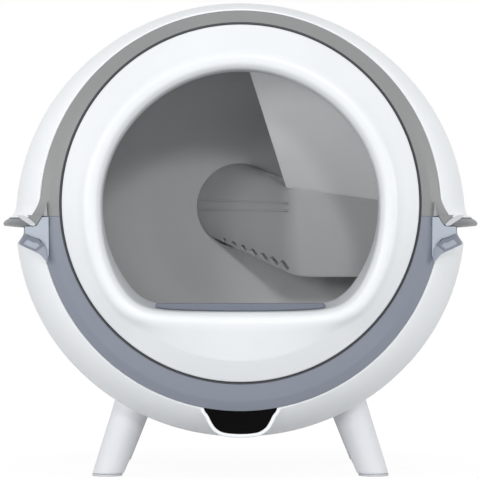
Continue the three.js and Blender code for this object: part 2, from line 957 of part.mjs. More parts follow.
function motorBracket() {
  const front = gearboxFrontY + motor.boxDepth + seatGap
  const margin = motor.boxRadius + motor.plateMargin
  const top = pinionHeight + margin / 2
  const low = new THREE.Vector3(pinionX - margin, front, 0)
  const high = new THREE.Vector3(motor.canX + margin, front + motor.plateThickness, top)
  return block(low, high).intersect(casingInnerSeat)
}

// Rollers: four wheels on fixed axles in forked brackets that stand on the floor of the base
const rollerTracks = [
  { end: 'front', radius: drumRadius.frontTrack, y: (drum.frontTrackStart + drum.frontTrackEnd) / 2 },
  { end: 'rear', radius: drumRadius.rearTrack, y: (drum.rearTrackStart + drum.rearTrackEnd) / 2 },
]
const hands = [{ name: 'left', side: -1 }, { name: 'right', side: 1 }]
const rollerPlaces = rollerTracks.flatMap((track) => hands.map((hand) => {
  const spacing = track.radius + roller.radius + seatGap
  return {
    name: `${track.end}_${hand.name}`,
    x: hand.side * spacing * Math.sin(rollerAngle),
    y: track.y,
    z: drumAxis - spacing * Math.cos(rollerAngle),
  }
}))

function rollerWheel() {
  const half = roller.width / 2
  const bore = roller.axleRadius + seatGap
  const treadHalf = half - roller.edge
  return revolve([
    [bore, -half],
    [roller.radius - roller.edge, -half],
    [roller.radius, -treadHalf],
    [roller.radius, treadHalf],
    [roller.radius - roller.edge, half],
    [bore, half],
  ], roundSides)
}

const cheekY = roller.width / 2 + runningGap / 2

function rollerAxle() {
  const half = cheekY + roller.cheekThickness + roller.axleOverhang
  return barY(0, 0, roller.axleRadius, -half, half, boreSides)
}

// Fork seen from the side: two cheeks and the floor between them, shaped to the floor of the casing
function rollerBracket(place) {
  const outer = cheekY + roller.cheekThickness
  const half = roller.cheekHalfWidth
  const top = roller.cheekTop
  const cheek = new THREE.Shape()
  cheek.moveTo(place.x - half, place.z - roller.cheekDrop)
  cheek.lineTo(place.x + half, place.z - roller.cheekDrop)
  cheek.lineTo(place.x + half, place.z)
  cheek.lineTo(place.x + half / 2, place.z + top)
  cheek.lineTo(place.x - half / 2, place.z + top)
  cheek.lineTo(place.x - half, place.z)
  const full = prismY(cheek, place.y - outer, place.y + outer)
  const floor = place.z - roller.radius - roller.floorPlate
  const low = new THREE.Vector3(place.x - 2 * half, place.y - cheekY, floor)
  const high = new THREE.Vector3(place.x + 2 * half, place.y + cheekY, place.z + 2 * top)
  const boreRadius = roller.axleRadius + seatGap
  const bore = barY(place.x, place.z, boreRadius, place.y - 2 * outer, place.y + 2 * outer, boreSides)
  return full.subtract(block(low, high)).subtract(bore).intersect(casingInnerSeat)
}

// Slab over a grid of points given by a column and a share of its height, thickened towards the rear
function sheet(pointAt, thickness, columns, heightSteps) {
  const loops = Array.from({ length: columns + 1 }, (_, i) => {
    const front = Array.from({ length: heightSteps + 1 }, (_, j) => pointAt(i, j / heightSteps))
    const back = front.map((point) => point.clone().setY(point.y + thickness)).reverse()
    return [...front, ...back]
  })
  return solid(loft(loops, ladderCap))
}

// Front face of the scoop: a wing from the port to the knee, then a flat plate to the drum wall
function wingPoint(along, rise) {
  const angle = THREE.MathUtils.lerp(portStartAngle, portEndAngle, rise)
  const atPort = new THREE.Vector3(
    scoop.portRadius * Math.cos(angle), scoop.portY, scoop.portRadius * Math.sin(angle))
  const atKnee = new THREE.Vector3(
    THREE.MathUtils.lerp(scoop.toeX, scoop.kneeX, rise),
    scoop.plateY,
    THREE.MathUtils.lerp(scoop.toeHeight, scoop.kneeHeight, rise))
  return atPort.lerp(atKnee, along)
}

function wallPoint(rise) {
  const height = THREE.MathUtils.lerp(scoop.toeHeight, kneeHeightAt(scoop.wallReach), rise)
  return new THREE.Vector3(scoop.wallReach, scoop.plateY, height)
}

// Line along the top of the plate, from the knee to the drum wall
function kneeHeightAt(x) {
  const share = (x - scoop.kneeX) / (scoop.wallReach - scoop.kneeX)
  return THREE.MathUtils.lerp(scoop.kneeHeight, scoop.wallRise, share)
}

function scoopBody(cavity) {
  const pointAt = (column, rise) => (
    column > wingColumns ? wallPoint(rise) : wingPoint(column / wingColumns, rise))
  let body = sheet(pointAt, scoop.thickness, wingColumns + 1, sheetRows)
  for (let i = 0; i < scoopSlots; i += 1) {
    const along = (i + 1) / (scoopSlots + 1)
    const at = wingPoint(along, scoop.slotMargin / (scoop.kneeHeight - scoop.toeHeight))
    const slot = new THREE.BoxGeometry(scoop.slotWidth, 2 * scoop.portY, scoop.slotLength)
    body = body.subtract(solid(slot.rotateY(slotTilt).translate(at.x, at.y, at.z)))
  }
  return body.intersect(cavity)
}

// Upper panel: from the knee line of the scoop up and forward to the wall of the drum
function baffleBody(cavity) {
  const far = scoop.wallReach
  return sheet((column, rise) => {
    const lowX = THREE.MathUtils.lerp(scoop.kneeX, far, column / baffleColumns)
    const highX = THREE.MathUtils.lerp(baffle.topX, far, column / baffleColumns)
    const lowHeight = kneeHeightAt(lowX) + seatGap
    const x = THREE.MathUtils.lerp(lowX, highX, rise)
    const z = THREE.MathUtils.lerp(lowHeight, baffle.topHeight, rise)
    const bulge = baffle.bulge * Math.sin(Math.PI * rise)
    return new THREE.Vector3(x, THREE.MathUtils.lerp(scoop.plateY, baffle.topY, rise) - bulge, z)
  }, scoop.thickness, baffleColumns, sheetRows).intersect(cavity)
}

// Rear end of a sieve slot: a margin ahead of the back of the drum at that distance from the axis
function sieveSlotEnd(x) {
  const line = [[drumRadius.seat, drum.seatEnd], ...drumBack, [0, drum.rearY]]
  const inner = line.findIndex(([radius]) => radius < x)
  const [outerRadius, outerY] = line[inner - 1]
  const [innerRadius, innerY] = line[inner]
  const share = (outerRadius - x) / (outerRadius - innerRadius)
  return THREE.MathUtils.lerp(outerY, innerY, share) - sieve.margin - drum.wall
}

// Slotted floor of the pocket behind the scoop, just under the knee line
function sieveGrid(cavity) {
  const front = scoop.plateY + scoop.thickness + seatGap
  const depth = drum.rearY - front
  const width = scoop.wallReach - scoop.kneeX
  const tilt = Math.atan2(scoop.kneeHeight - scoop.wallRise, width)
  const panel = (fromX, toX, fromY, toY, thickness) => {
    const geometry = new THREE.BoxGeometry(toX - fromX, toY - fromY, thickness)
    geometry.translate((fromX + toX) / 2, (fromY + toY) / 2, -sieve.thickness / 2 - seatGap)
    return solid(geometry.rotateY(tilt).translate(scoop.kneeX, front, scoop.kneeHeight))
  }
  const pitch = sieve.slotWidth + sieve.barWidth
  const farX = drumRadius.seat - 3 * sieve.margin
  const count = Math.floor((farX - scoop.kneeX) / pitch)
  let grid = panel(sieve.thickness, width, 0, depth, sieve.thickness)
  for (let i = 0; i < count; i += 1) {
    const x = sieve.margin + i * pitch
    const end = sieveSlotEnd(scoop.kneeX + x + sieve.slotWidth) - front
    grid = grid.subtract(panel(x, x + sieve.slotWidth, sieve.margin, end, sieve.thickness + overrun))
  }
  return grid.intersect(cavity)
}

function portCollar() {
  const outer = port.boreRadius + port.wall
  const wallY = drum.rearY + seatGap
  return revolve([
    [port.boreRadius, wallY - port.length / 4],
    [outer, wallY - port.length / 4],
    [outer, wallY],
    [port.flangeRadius, wallY],
    [port.flangeRadius, wallY + port.flangeThickness],
    [outer, wallY + port.flangeThickness],
    [outer, wallY + port.length],
    [port.boreRadius, wallY + port.length],
  ], drumSides)
}

// Wall behind the drum with a half-round cradle, so that the drum lifts out when the cover is off
function rearBulkhead() {
  const rear = bulkhead.frontY + bulkhead.thickness
  const underLedge = shelfBottom - ledge.skirtHeight - seatGap
  const ledgeEnd = casingSection(brim.rearY, 0).halfWidth
  const betweenLedges = ledgeEnd - ledge.wallInset - ledge.wallThickness - runningGap
  const wall = (halfWidth, top) => block(
    new THREE.Vector3(-halfWidth, bulkhead.frontY, 0), new THREE.Vector3(halfWidth, rear, top))
  const cradle = port.boreRadius + port.wall + runningGap
  const cut = barY(0, drumAxis, cradle, bulkhead.frontY - overrun, rear + overrun, drumSides)
  return wall(casing.halfWidth, underLedge)
    .add(wall(betweenLedges, splitHeight))
    .subtract(cut)
    .intersect(casingInnerSeat)
}

const binFrontY = bulkhead.frontY + bulkhead.thickness + bin.frontGap

function binShelf() {
  const top = binBottom + bin.tubInset - seatGap
  const front = bulkhead.frontY + bulkhead.thickness + seatGap
  const low = new THREE.Vector3(-bin.shelfHalfWidth, front, top - bin.shelfThickness)
  const high = new THREE.Vector3(bin.shelfHalfWidth, casing.rearY, top)
  return block(low, high).intersect(casingInnerSeat)
}

// Tub of the waste drawer: the outline of the drawer, closed at the rear by the inside of the casing
function wasteBin() {
  const outer = prismY(binShape(bin.tubInset), binFrontY, casing.rearY, cornerSegments)
    .intersect(casingInnerSeat)
  const innerShape = binShape(bin.tubInset + bin.wall)
  const hollow = prismY(innerShape, binFrontY + bin.wall, casing.rearY, cornerSegments)
    .intersect(casingBody(casing.wall + seatGap + bin.wall, true))
  const rim = binTop - bin.tubInset - bin.wall - bin.topCornerRadius
  const low = new THREE.Vector3(-bin.halfWidth, binFrontY - overrun, rim)
  const high = new THREE.Vector3(bin.halfWidth, casing.rearY + overrun, binTop)
  return outer.subtract(hollow).subtract(block(low, high))
}

function binFascia() {
  const outline = binShape(bin.fasciaGap)
  const column = prismY(outline, domeDepth / 2, casing.rearY + overrun, cornerSegments)
  return casingShell.intersect(column)
}

// Cup pull on the drawer: a shallow hood that is open below
function binHandle() {
  const hood = (inset) => {
    const right = handle.halfWidth - inset
    const top = handleTop - inset
    const bottom = handleTop - handle.height
    const round = handle.cornerRadius
    const shape = new THREE.Shape()
    shape.moveTo(-right, inset > 0 ? bottom - overrun : bottom)
    shape.lineTo(right, inset > 0 ? bottom - overrun : bottom)
    shape.lineTo(right, top - round)
    shape.absarc(right - round, top - round, round, 0, Math.PI / 2)
    shape.lineTo(-right + round, top)
    shape.absarc(-right + round, top - round, round, Math.PI / 2, Math.PI)
    return shape
  }
  const seat = casing.rearY + seatGap
  const outer = prismY(hood(0), seat, seat + handle.depth, cornerSegments)
  const floor = seat + handle.depth - handle.wall
  return outer.subtract(prismY(hood(handle.wall), seat - overrun, floor, cornerSegments))
}

// Splayed, tapered legs that end in the underside of the casing
const legPlaces = [
  { name: 'front_left', side: -1, depth: -1 },
  { name: 'front_right', side: 1, depth: -1 },
  { name: 'rear_left', side: -1, depth: 1 },
  { name: 'rear_right', side: 1, depth: 1 },
]

function legBody(place) {
  const geometry = new THREE.CylinderGeometry(leg.topRadius, leg.footRadius, leg.length, roundSides)
  geometry.translate(0, leg.length / 2, 0).rotateX(Math.PI / 2)
  geometry.rotateX(place.depth * legRake).rotateY(-place.side * legSplay)
  const body = solid(geometry.translate(place.side * leg.footX, place.depth * leg.footY, 0))
  return body.subtract(casingSeat).intersect(slab(pad.height + seatGap, casingCentre / 2))
}

function footPad(place) {
  const geometry = new THREE.CylinderGeometry(pad.radius, pad.radius, pad.height, roundSides)
  geometry.rotateX(Math.PI / 2).translate(place.side * leg.footX, place.depth * leg.footY, pad.height / 2)
  return solid(geometry)
}

function controlBoard() {
  const low = new THREE.Vector3(-board.halfWidth, board.y, 0)
  const top = casing.bottomHeight + board.topRise
  const high = new THREE.Vector3(board.halfWidth, board.y + board.thickness, top)
  return block(low, high).intersect(casingInnerSeat)
}

// Round low-voltage inlet with its centre pin
function dcInlet() {
  const front = inletRearY - inlet.length
  const floor = inletRearY - inlet.boreDepth
  const barrel = barY(inlet.x, inletHeight, inlet.radius, front, inletRearY)
  const bore = barY(inlet.x, inletHeight, inlet.boreRadius, floor, inletRearY + overrun, boreSides)
  const pinEnd = inletRearY - inlet.boreDepth / 4
  const pin = barY(inlet.x, inletHeight, inlet.pinRadius, floor - overrun, pinEnd, boreSides)
  return barrel.subtract(bore).add(pin)
}

function baseGroup() {
  const group = new THREE.Group()
  group.add(
    piece('base_shell', baseShell(), finishes.white),
    piece('base_front_trim', baseSurround(), finishes.blueGrey),
    piece('base_rim_left', baseLedge(-1), finishes.blueGrey),
    piece('base_rim_right', baseLedge(1), finishes.blueGrey),
    piece('display_panel', displayPanel(), finishes.black),
    piece('control_board', controlBoard(), finishes.boardGreen),
    piece('dc_inlet', dcInlet(), finishes.rubber),
    piece('rear_bulkhead', rearBulkhead(), finishes.drumGrey),
    piece('bin_shelf', binShelf(), finishes.drumGrey),
    piece('gearbox', gearbox(), finishes.nylon),
    piece('gear_motor', gearMotor(), finishes.motorCan),
    piece('motor_bracket', motorBracket(), finishes.zinc),
  )
  for (const place of legPlaces) {
    group.add(piece(`leg_${place.name}`, legBody(place), finishes.white))
    group.add(piece(`foot_pad_${place.name}`, footPad(place), finishes.pad))
  }
  return group
}

function rollerGroup() {
  const group = new THREE.Group()
  for (const place of rollerPlaces) {
    const wheel = piece(`roller_${place.name}`, rollerWheel(), finishes.rubber)
    const axle = piece(`roller_axle_${place.name}`, rollerAxle(), finishes.steel)
    wheel.position.set(place.x, place.y, place.z)
    axle.position.set(place.x, place.y, place.z)
    group.add(wheel, axle, piece(`roller_bracket_${place.name}`, rollerBracket(place), finishes.zinc))
  }
  return group
}

function driveGroup() {
  const group = new THREE.Group()
  group.position.set(pinionX, 0, pinionHeight)
  group.add(piece('drive_pinion', drivePinion(), finishes.nylon))
  group.add(piece('output_shaft', outputShaft(), finishes.steel))
  return group
}

function coverGroup() {
  const group = new THREE.Group()
  group.add(
    piece('upper_cover', upperCover(), finishes.white),
    piece('cover_front_trim', coverSurround(), finishes.grey),
    piece('cover_brim_left', coverBrim(-1), finishes.grey),
    piece('cover_brim_right', coverBrim(1), finishes.grey),
  )
  return group
}

function drumGroup() {
  const cavity = drumCavity()
  const group = new THREE.Group()
  group.position.set(0, 0, drumAxis)
  group.add(
    piece('drum_front_ring', drumFrontRing(), finishes.ringWhite),
    piece('entry_sleeve', entrySleeve(), finishes.linerGrey),
    piece('litter_sill', litterSill(), finishes.blueGrey),
    piece('drum_front_shell', drumFrontShell(), finishes.drumGrey),
    piece('drum_rear_shell', drumRearShell(), finishes.drumGrey),
    piece('ring_gear', ringGear(), finishes.nylon),
    piece('scoop', scoopBody(cavity), finishes.scoopGrey),
    piece('baffle', baffleBody(cavity), finishes.scoopGrey),
    piece('sieve_grid', sieveGrid(cavity), finishes.scoopGrey),
    piece('port_collar', portCollar(), finishes.drumGrey),
  )
  return group
}

function binGroup() {
  const group = new THREE.Group()
  group.add(
    piece('waste_bin', wasteBin(), finishes.linerGrey),
    piece('bin_fascia', binFascia(), finishes.white),
    piece('bin_handle', binHandle(), finishes.blueGrey),
  )
  return group
}

const litterBox = new THREE.Group()
litterBox.add(baseGroup(), rollerGroup(), driveGroup(), coverGroup(), drumGroup(), binGroup())

export default litterBox
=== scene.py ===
"""Looks of a ball-shaped self cleaning litter box, built round its CAD frame.

Sizes are millimetres in the frame of the CAD model (+Z up, front towards -Y, floor at z 0) and
are turned into metres when a mesh is made. Each class holds the sizes of one sub-assembly and
builds and dresses its pieces.
"""

import bisect
import logging
import math
from collections.abc import Callable, Iterable, Mapping, Sequence
from dataclasses import dataclass, field
from enum import Enum
from functools import partial

import bmesh
import bpy
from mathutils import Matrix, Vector


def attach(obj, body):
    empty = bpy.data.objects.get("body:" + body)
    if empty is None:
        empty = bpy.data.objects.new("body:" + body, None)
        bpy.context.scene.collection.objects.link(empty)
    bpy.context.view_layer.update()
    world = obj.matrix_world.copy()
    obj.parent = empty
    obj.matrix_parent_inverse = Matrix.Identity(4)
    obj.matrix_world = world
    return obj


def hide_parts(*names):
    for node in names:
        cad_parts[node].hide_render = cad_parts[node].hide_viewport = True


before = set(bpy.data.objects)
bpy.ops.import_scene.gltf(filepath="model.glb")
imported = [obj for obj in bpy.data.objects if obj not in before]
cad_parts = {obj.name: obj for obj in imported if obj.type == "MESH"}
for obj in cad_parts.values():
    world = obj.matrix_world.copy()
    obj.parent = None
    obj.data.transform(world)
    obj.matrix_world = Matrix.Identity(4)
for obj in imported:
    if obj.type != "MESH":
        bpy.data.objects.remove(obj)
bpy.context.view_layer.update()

log = logging.getLogger("litter_box")

MM = 0.001
DRUM_AXIS = 317.7
SPLIT = 303.1
CREASE_ANGLE = 32.0
BEVEL_ANGLE = 35.0
PLACES = ("front_left", "front_right", "rear_left", "rear_right")
HANDS = (("left", -1), ("right", 1))

Mesh = bmesh.types.BMesh
Item = bpy.types.Object
Socket = bpy.types.NodeSocket
Plane = tuple[Vector, Vector]
Loop = list[Vector]
Corner = tuple[float, float, float]
Corners = tuple[Corner, ...]


class Body(Enum):
    """Body of the CAD model that carries a piece."""

    BASE = "base"
    COVER = "cover"
    DRUM = "drum"
    BIN = "bin"


# ---------------------------------------------------------------- finishes


class Texture(Enum):
    """How the surface of a finish is worked."""

    MOULDED = "moulded"
    GLOSS = "gloss"
    RUBBER = "rubber"
    METAL = "metal"
    BOARD = "board"


@dataclass(frozen=True)
class Grain:
    """Strengths of the fine relief, the slow colour drift and the roughness drift of a surface."""

    relief: float
    drift: float
    wear: float
    scale: float


GRAINS = {
    Texture.MOULDED: Grain(relief=0.035, drift=0.02, wear=0.03, scale=2200.0),
    Texture.GLOSS: Grain(relief=0.01, drift=0.2, wear=0.04, scale=700.0),
    Texture.RUBBER: Grain(relief=0.3, drift=0.12, wear=0.1, scale=900.0),
    Texture.METAL: Grain(relief=0.08, drift=0.1, wear=0.14, scale=500.0),
    Texture.BOARD: Grain(relief=0.2, drift=0.5, wear=0.1, scale=260.0),
}
DRIFT_SPAN = (0.3, 0.7)  # levels of the noise between which a surface drifts
DRIFT_NOISE = (14.0, 4.0)  # cells in a metre and octaves
WEAR_NOISE = (70.0, 5.0)
RELIEF_OCTAVES = 3.0
RELIEF_DEPTH = 0.0004
SMOOTHEST = 0.02
BRUSHED = (1.0, 0.04, 1.0)  # stretch of the coordinates that draws the grain of metal into lines
TRACK_GAP = 0.06
GLOSS_LEVEL = 0.04


def linear(level: float) -> float:
    """Screen level from 0 to 255 as scene-linear light."""
    share = level / 255
    return share / 12.92 if share <= 0.04045 else ((share + 0.055) / 1.055) ** 2.4


class Operation(Enum):
    """What is done with two values."""

    SUM = "ADD"
    PRODUCT = "MULTIPLY"


@dataclass(frozen=True)
class Nodes:
    """Node tree of a material or of the world, with short calls that fill it."""

    tree: bpy.types.NodeTree

    def feed(self, node: bpy.types.Node, inputs: Mapping[str | int, object]) -> None:
        """Sets or links inputs of a node.

        Args:
            node: node that takes them.
            inputs: for each input, its constant or the socket that drives it.
        """
        for key, value in inputs.items():
            if isinstance(value, Socket):
                self.tree.links.new(value, node.inputs[key])
            else:
                node.inputs[key].default_value = value

    def add(self, kind: str, inputs: Mapping[str | int, object] | None = None) -> bpy.types.Node:
        """Adds a node.

        Args:
            kind: type of the node.
            inputs: for each input that isn't left as it is, its constant or its socket.

        Returns:
            The new node.
        """
        node = self.tree.nodes.new(kind)
        self.feed(node, inputs or {})
        return node

    def place(self) -> Socket:
        """Coordinates of the object's own space."""
        return self.add("ShaderNodeTexCoord").outputs["Object"]

    def noise(self, place: Socket, scale: float, detail: float) -> Socket:
        """Noise from 0 to 1 over some coordinates, with its cells in a metre and its octaves."""
        inputs = {"Vector": place, "Scale": scale, "Detail": detail}
        return self.add("ShaderNodeTexNoise", inputs).outputs["Fac"]

    def ramp(self, source: Socket, tones: Sequence[Sequence[float]],
             span: tuple[float, float] = (0.0, 1.0)) -> Socket:
        """Blends between two tones.

        Args:
            source: value that drives the blend.
            tones: scene-linear colour at the low and at the high end.
            span: values at the two ends.

        Returns:
            The colour.
        """
        node = self.add("ShaderNodeValToRGB", {"Fac": source})
        for element, level, tone in zip(node.color_ramp.elements, span, tones):
            element.position = level
            element.color = (*tone, 1)
        return node.outputs["Color"]

    def spread(self, source: Socket, old: tuple[float, float], new: tuple[float, float]) -> Socket:
        """Maps a value from one span to another and keeps it there.

        Args:
            source: the value.
            old: its low and high end.
            new: what these become.

        Returns:
            The mapped value.
        """
        node = self.add("ShaderNodeMapRange", {"Value": source})
        for end, low, high in (("From", *old), ("To", *new)):
            self.feed(node, {f"{end} Min": low, f"{end} Max": high})
        return node.outputs["Result"]

    def combined(self, operation: Operation, first: Socket, second: Socket,
                 clamped: bool = False) -> Socket:
        """Sum or product of two values.

        Args:
            operation: what is done.
            first: one value.
            second: the other value.
            clamped: whether the result is kept between 0 and 1.

        Returns:
            The result.
        """
        node = self.add("ShaderNodeMath", {0: first, 1: second})
        node.operation = operation.value
        node.use_clamp = clamped
        return node.outputs[0]

    def seen(self) -> Socket:
        """Tells the rays that show the surroundings: of the camera, of gloss and through glass.

        Returns:
            The output that is 1 for those rays and 0 for light.
        """
        rays = self.add("ShaderNodeLightPath").outputs
        either = self.combined(Operation.SUM, rays["Is Camera Ray"], rays["Is Glossy Ray"])
        return self.combined(Operation.SUM, either, rays["Is Transmission Ray"], clamped=True)

    def mixed(self, share: Socket, first: Socket, second: Socket, output: str) -> None:
        """Shows the blend of two shaders, by the share of the second, at the named output node."""
        mix = self.add("ShaderNodeMixShader", {"Fac": share, 1: first, 2: second})
        self.feed(self.tree.nodes[output], {"Surface": mix.outputs["Shader"]})


@dataclass(frozen=True)
class Finish:
    """One procedural surface finish."""

    name: str
    slot: str
    colour: tuple[float, float, float]
    roughness: float
    texture: Texture = Texture.MOULDED

    def material(self) -> bpy.types.Material:
        """Builds the node material, or returns the one already built.

        Returns:
            The material of this finish.
        """
        title = f"{self.name}_finish"
        known = bpy.data.materials.get(title)
        if known:
            return known
        material = bpy.data.materials.new(title)
        material.use_nodes = True
        nodes, grain = Nodes(material.node_tree), GRAINS[self.texture]
        shader = nodes.tree.nodes["Principled BSDF"]
        metal = self.texture is Texture.METAL
        place = nodes.place()
        if metal:
            stretch = {"Vector": place, "Scale": BRUSHED}
            place = nodes.add("ShaderNodeMapping", stretch).outputs["Vector"]
        relief = nodes.add("ShaderNodeBump", {
            "Strength": grain.relief,
            "Distance": RELIEF_DEPTH,
            "Height": nodes.noise(place, grain.scale, RELIEF_OCTAVES),
        })
        worn = (max(SMOOTHEST, self.roughness - grain.wear), min(1.0, self.roughness + grain.wear))
        nodes.feed(shader, {
            "Base Color": self._colour(nodes, place, grain),
            "Roughness": nodes.spread(nodes.noise(place, *WEAR_NOISE), DRIFT_SPAN, worn),
            "Normal": relief.outputs["Normal"],
            "Metallic": 1.0 if metal else 0.0,
        })
        if self.texture is Texture.GLOSS:
            shader.inputs["Specular IOR Level"].default_value = GLOSS_LEVEL
        return material

    def _colour(self, nodes: Nodes, place: Socket, grain: Grain) -> Socket:
        """Drifts between a darker and a lighter tone of the finish.

        Args:
            nodes: node tree of the material.
            place: coordinates that the drift follows.
            grain: strengths of the surface.

        Returns:
            The base colour.
        """
        base = [linear(level) for level in self.colour]
        darker = [level * (1 - grain.drift) for level in base]
        lighter = [min(1.0, level * (1 + grain.drift / 2)) for level in base]
        if self.texture is Texture.BOARD:
            tracks = {"Vector": place, "Scale": grain.scale, "Mortar Size": TRACK_GAP}
            source = nodes.add("ShaderNodeTexBrick", tracks).outputs["Fac"]
        else:
            source = nodes.noise(place, *DRIFT_NOISE)
        return nodes.ramp(source, (darker, lighter), DRIFT_SPAN)


WHITE = Finish("casing_white", "white_plastic", (243, 246, 248), 0.62)
RING_WHITE = Finish("ring_white", "ring_plastic", (233, 236, 239), 0.36)
TRIM_GREY = Finish("trim_grey", "grey_plastic", (136, 138, 138), 0.42)
TRIM_BLUE = Finish("trim_blue_grey", "blue_grey_plastic", (130, 136, 148), 0.42)
# Lighter copy of the blue-grey trim plastic: painted light on the facets of the finger recess,
# which catch more light than the front of the trim.
TRIM_PAINTED_LIGHT = Finish("recess_painted_light_blue_grey", "blue_grey_plastic", (174, 182, 194), 0.42)
SILL_BLUE = Finish("sill_blue", "blue_grey_plastic", (108, 114, 127), 0.42)
# Lighter copy of the blue-grey trim plastic: painted light on the facet below the recess, which
# faces outward and up.
CHIN_PAINTED_LIGHT = Finish("chin_painted_light", "blue_grey_plastic", (146, 152, 164), 0.42)
# Lighter copy of the grey trim plastic: a painted highlight along the crease above the tongue.
SPIKE_PAINTED_HIGHLIGHT = Finish("spike_painted_highlight", "grey_plastic", (152, 154, 157), 0.42)
# Darker copy of the grey trim plastic: painted shade on the brims, whose noses curl under.
BRIM_PAINTED_SHADE = Finish("brim_painted_shade", "grey_plastic", (116, 118, 120), 0.42)
# Dark grey seal in the gap round the entry ring; its tone also paints the shade in that gap.
SEAL_GAP_SHADE = Finish("seal_gap_shade", "dark_rubber", (74, 76, 80), 0.7)
# Lighter copy of the blue-grey trim plastic: painted light on the middle of the finger pocket,
# whose border keeps the plain trim colour.
POCKET_PAINTED_LIGHT = Finish("pocket_painted_light", "blue_grey_plastic", (158, 166, 178), 0.42)
DRUM_GREY = Finish("drum_grey", "drum_grey", (208, 209, 210), 0.5)
# Lighter copy of the scoop's light grey plastic: painted light on the guide panel.
PANEL_PAINTED_LIGHT = Finish("panel_painted_light", "light_grey_plastic", (250, 251, 252), 0.48)
LIGHT_GREY = Finish("light_grey", "light_grey_plastic", (184, 185, 186), 0.48)
# Darker copy of the casing's white plastic: painted shade on the legs under the casing.
LEG_PAINTED_SHADE = Finish("leg_painted_shade", "white_plastic", (226, 228, 232), 0.5)
LINER = Finish("liner_grey", "liner_grey", (206, 209, 212), 0.45)
BLACK = Finish("display_black", "black_gloss", (8, 8, 9), 0.12, Texture.GLOSS)
BOARD = Finish("board_green", "board_green", (40, 92, 62), 0.45, Texture.BOARD)
DARK_RUBBER = Finish("dark_rubber", "dark_rubber", (62, 63, 66), 0.75, Texture.RUBBER)
PAD_RUBBER = Finish("pad_rubber", "pad_rubber", (206, 208, 212), 0.8, Texture.RUBBER)
NYLON = Finish("nylon", "nylon", (222, 220, 211), 0.5)
MOTOR_STEEL = Finish("motor_steel", "motor_steel", (176, 178, 181), 0.36, Texture.METAL)
ZINC = Finish("zinc_steel", "zinc_steel", (186, 189, 193), 0.42, Texture.METAL)
SHAFT_STEEL = Finish("shaft_steel", "shaft_steel", (200, 202, 205), 0.24, Texture.METAL)


# ---------------------------------------------------------------- shapes


def directions(count: int) -> list[float]:
    """Equal steps of a whole turn, in radians."""
    return [2 * math.pi * i / count for i in range(count)]


def bend(start: Vector, corner: Vector, end: Vector, steps: int) -> Loop:
    """Curve between two points that follows the corner between them."""
    shares = [step / steps for step in range(steps + 1)]
    return [start * (1 - t) ** 2 + corner * (2 * t * (1 - t)) + end * t ** 2 for t in shares]


def filleted(corners: Sequence[Sequence[float]], steps: int = 4, closed: bool = True) -> Loop:
    """Rounds the corners of a polygon or of an open line.

    Args:
        corners: coordinates of each corner, with the reach of its rounding last; 0 keeps it.
        steps: short edges in each rounding.
        closed: whether the last corner joins the first.

    Returns:
        Points of the rounded line; their number depends only on which corners are rounded.
    """
    most = 0.45
    points = [Vector(corner[:-1]) for corner in corners]
    rounded: Loop = []
    for i, corner in enumerate(corners):
        here, reach = points[i], corner[-1]
        ends = not closed and i in (0, len(points) - 1)
        if ends or reach <= 0:
            rounded.append(here)
            continue
        before, after = points[i - 1], points[(i + 1) % len(points)]
        back = min(reach, most * (before - here).length)
        on = min(reach, most * (after - here).length)
        start = here + (before - here).normalized() * back
        end = here + (after - here).normalized() * on
        rounded += bend(start, here, end, steps)
    return rounded


def dense(line: Sequence[Vector], longest: float) -> Loop:
    """Splits every edge of an open line that is longer than a length.

    Args:
        line: points of the line.
        longest: length that no edge passes.

    Returns:
        The line with the points between.
    """
    points = [line[0]]
    for before, after in zip(line, line[1:]):
        count = max(1, math.ceil((after - before).length / longest))
        points += [before.lerp(after, (k + 1) / count) for k in range(count)]
    return points


def catmull(points: Sequence[Vector], steps: int) -> Loop:
    """Smooth line through a row of points.

    Args:
        points: points that the line passes.
        steps: short edges between two points.

    Returns:
        The line, with both end points.
    """
    line = []
    last = len(points) - 1
    for i in range(last):
        p0, p1, p2, p3 = points[max(i - 1, 0)], points[i], points[i + 1], points[min(i + 2, last)]
        for step in range(steps):
            t = step / steps
            line.append(((p2 - p0) * t + (p0 * 2 - p1 * 5 + p2 * 4 - p3) * t ** 2
                         + (p1 * 3 - p0 - p2 * 3 + p3) * t ** 3) * 0.5 + p1)
    return [*line, points[last]]


def sideways(line: Sequence[Vector], distance: float) -> Loop:
    """Moves an open line in the plane sideways.

    Args:
        line: points of the line.
        distance: how far it moves, to its left where this is positive.

    Returns:
        The moved line.
    """
    moved = []
    for i, point in enumerate(line):
        along = (line[min(i + 1, len(line) - 1)] - line[max(i - 1, 0)]).normalized()
        moved.append(point + Vector((-along.y, along.x)) * distance)
    return moved


def last_true(holds: Callable[[float], bool], low: float, high: float, steps: int = 30) -> float:
    """Halves a span again and again to find where a condition ends.

    Args:
        holds: condition that is true from the low end up to somewhere in the span.
        low: low end of the span.
        high: high end of the span.
        steps: halvings.

    Returns:
        The last value found where the condition holds.
    """
    for _ in range(steps):
        middle = (low + high) / 2
        if holds(middle):
            low = middle
        else:
            high = middle
    return low


def skin(loops: Sequence[Loop], around: bool = True, closed: bool = False,
         caps: bool = True) -> Mesh:
    """Joins a row of equally long loops with quads.

    Args:
        loops: loops of points.
        around: whether each loop closes on itself.
        closed: whether the last loop joins the first.
        caps: whether the first and the last loop are filled when the row isn't closed.

    Returns:
        The mesh.
    """
    mesh = bmesh.new()
    rows = [[mesh.verts.new(point) for point in loop] for loop in loops]
    pairs = list(zip(rows, rows[1:])) + ([(rows[-1], rows[0])] if closed else [])
    for low, high in pairs:
        count = len(low) if around else len(low) - 1
        for i in range(count):
            j = (i + 1) % len(low)
            mesh.faces.new((low[i], low[j], high[j], high[i]))
    if caps and around and not closed:
        mesh.faces.new(list(reversed(rows[0])))
        mesh.faces.new(rows[-1])
    return mesh


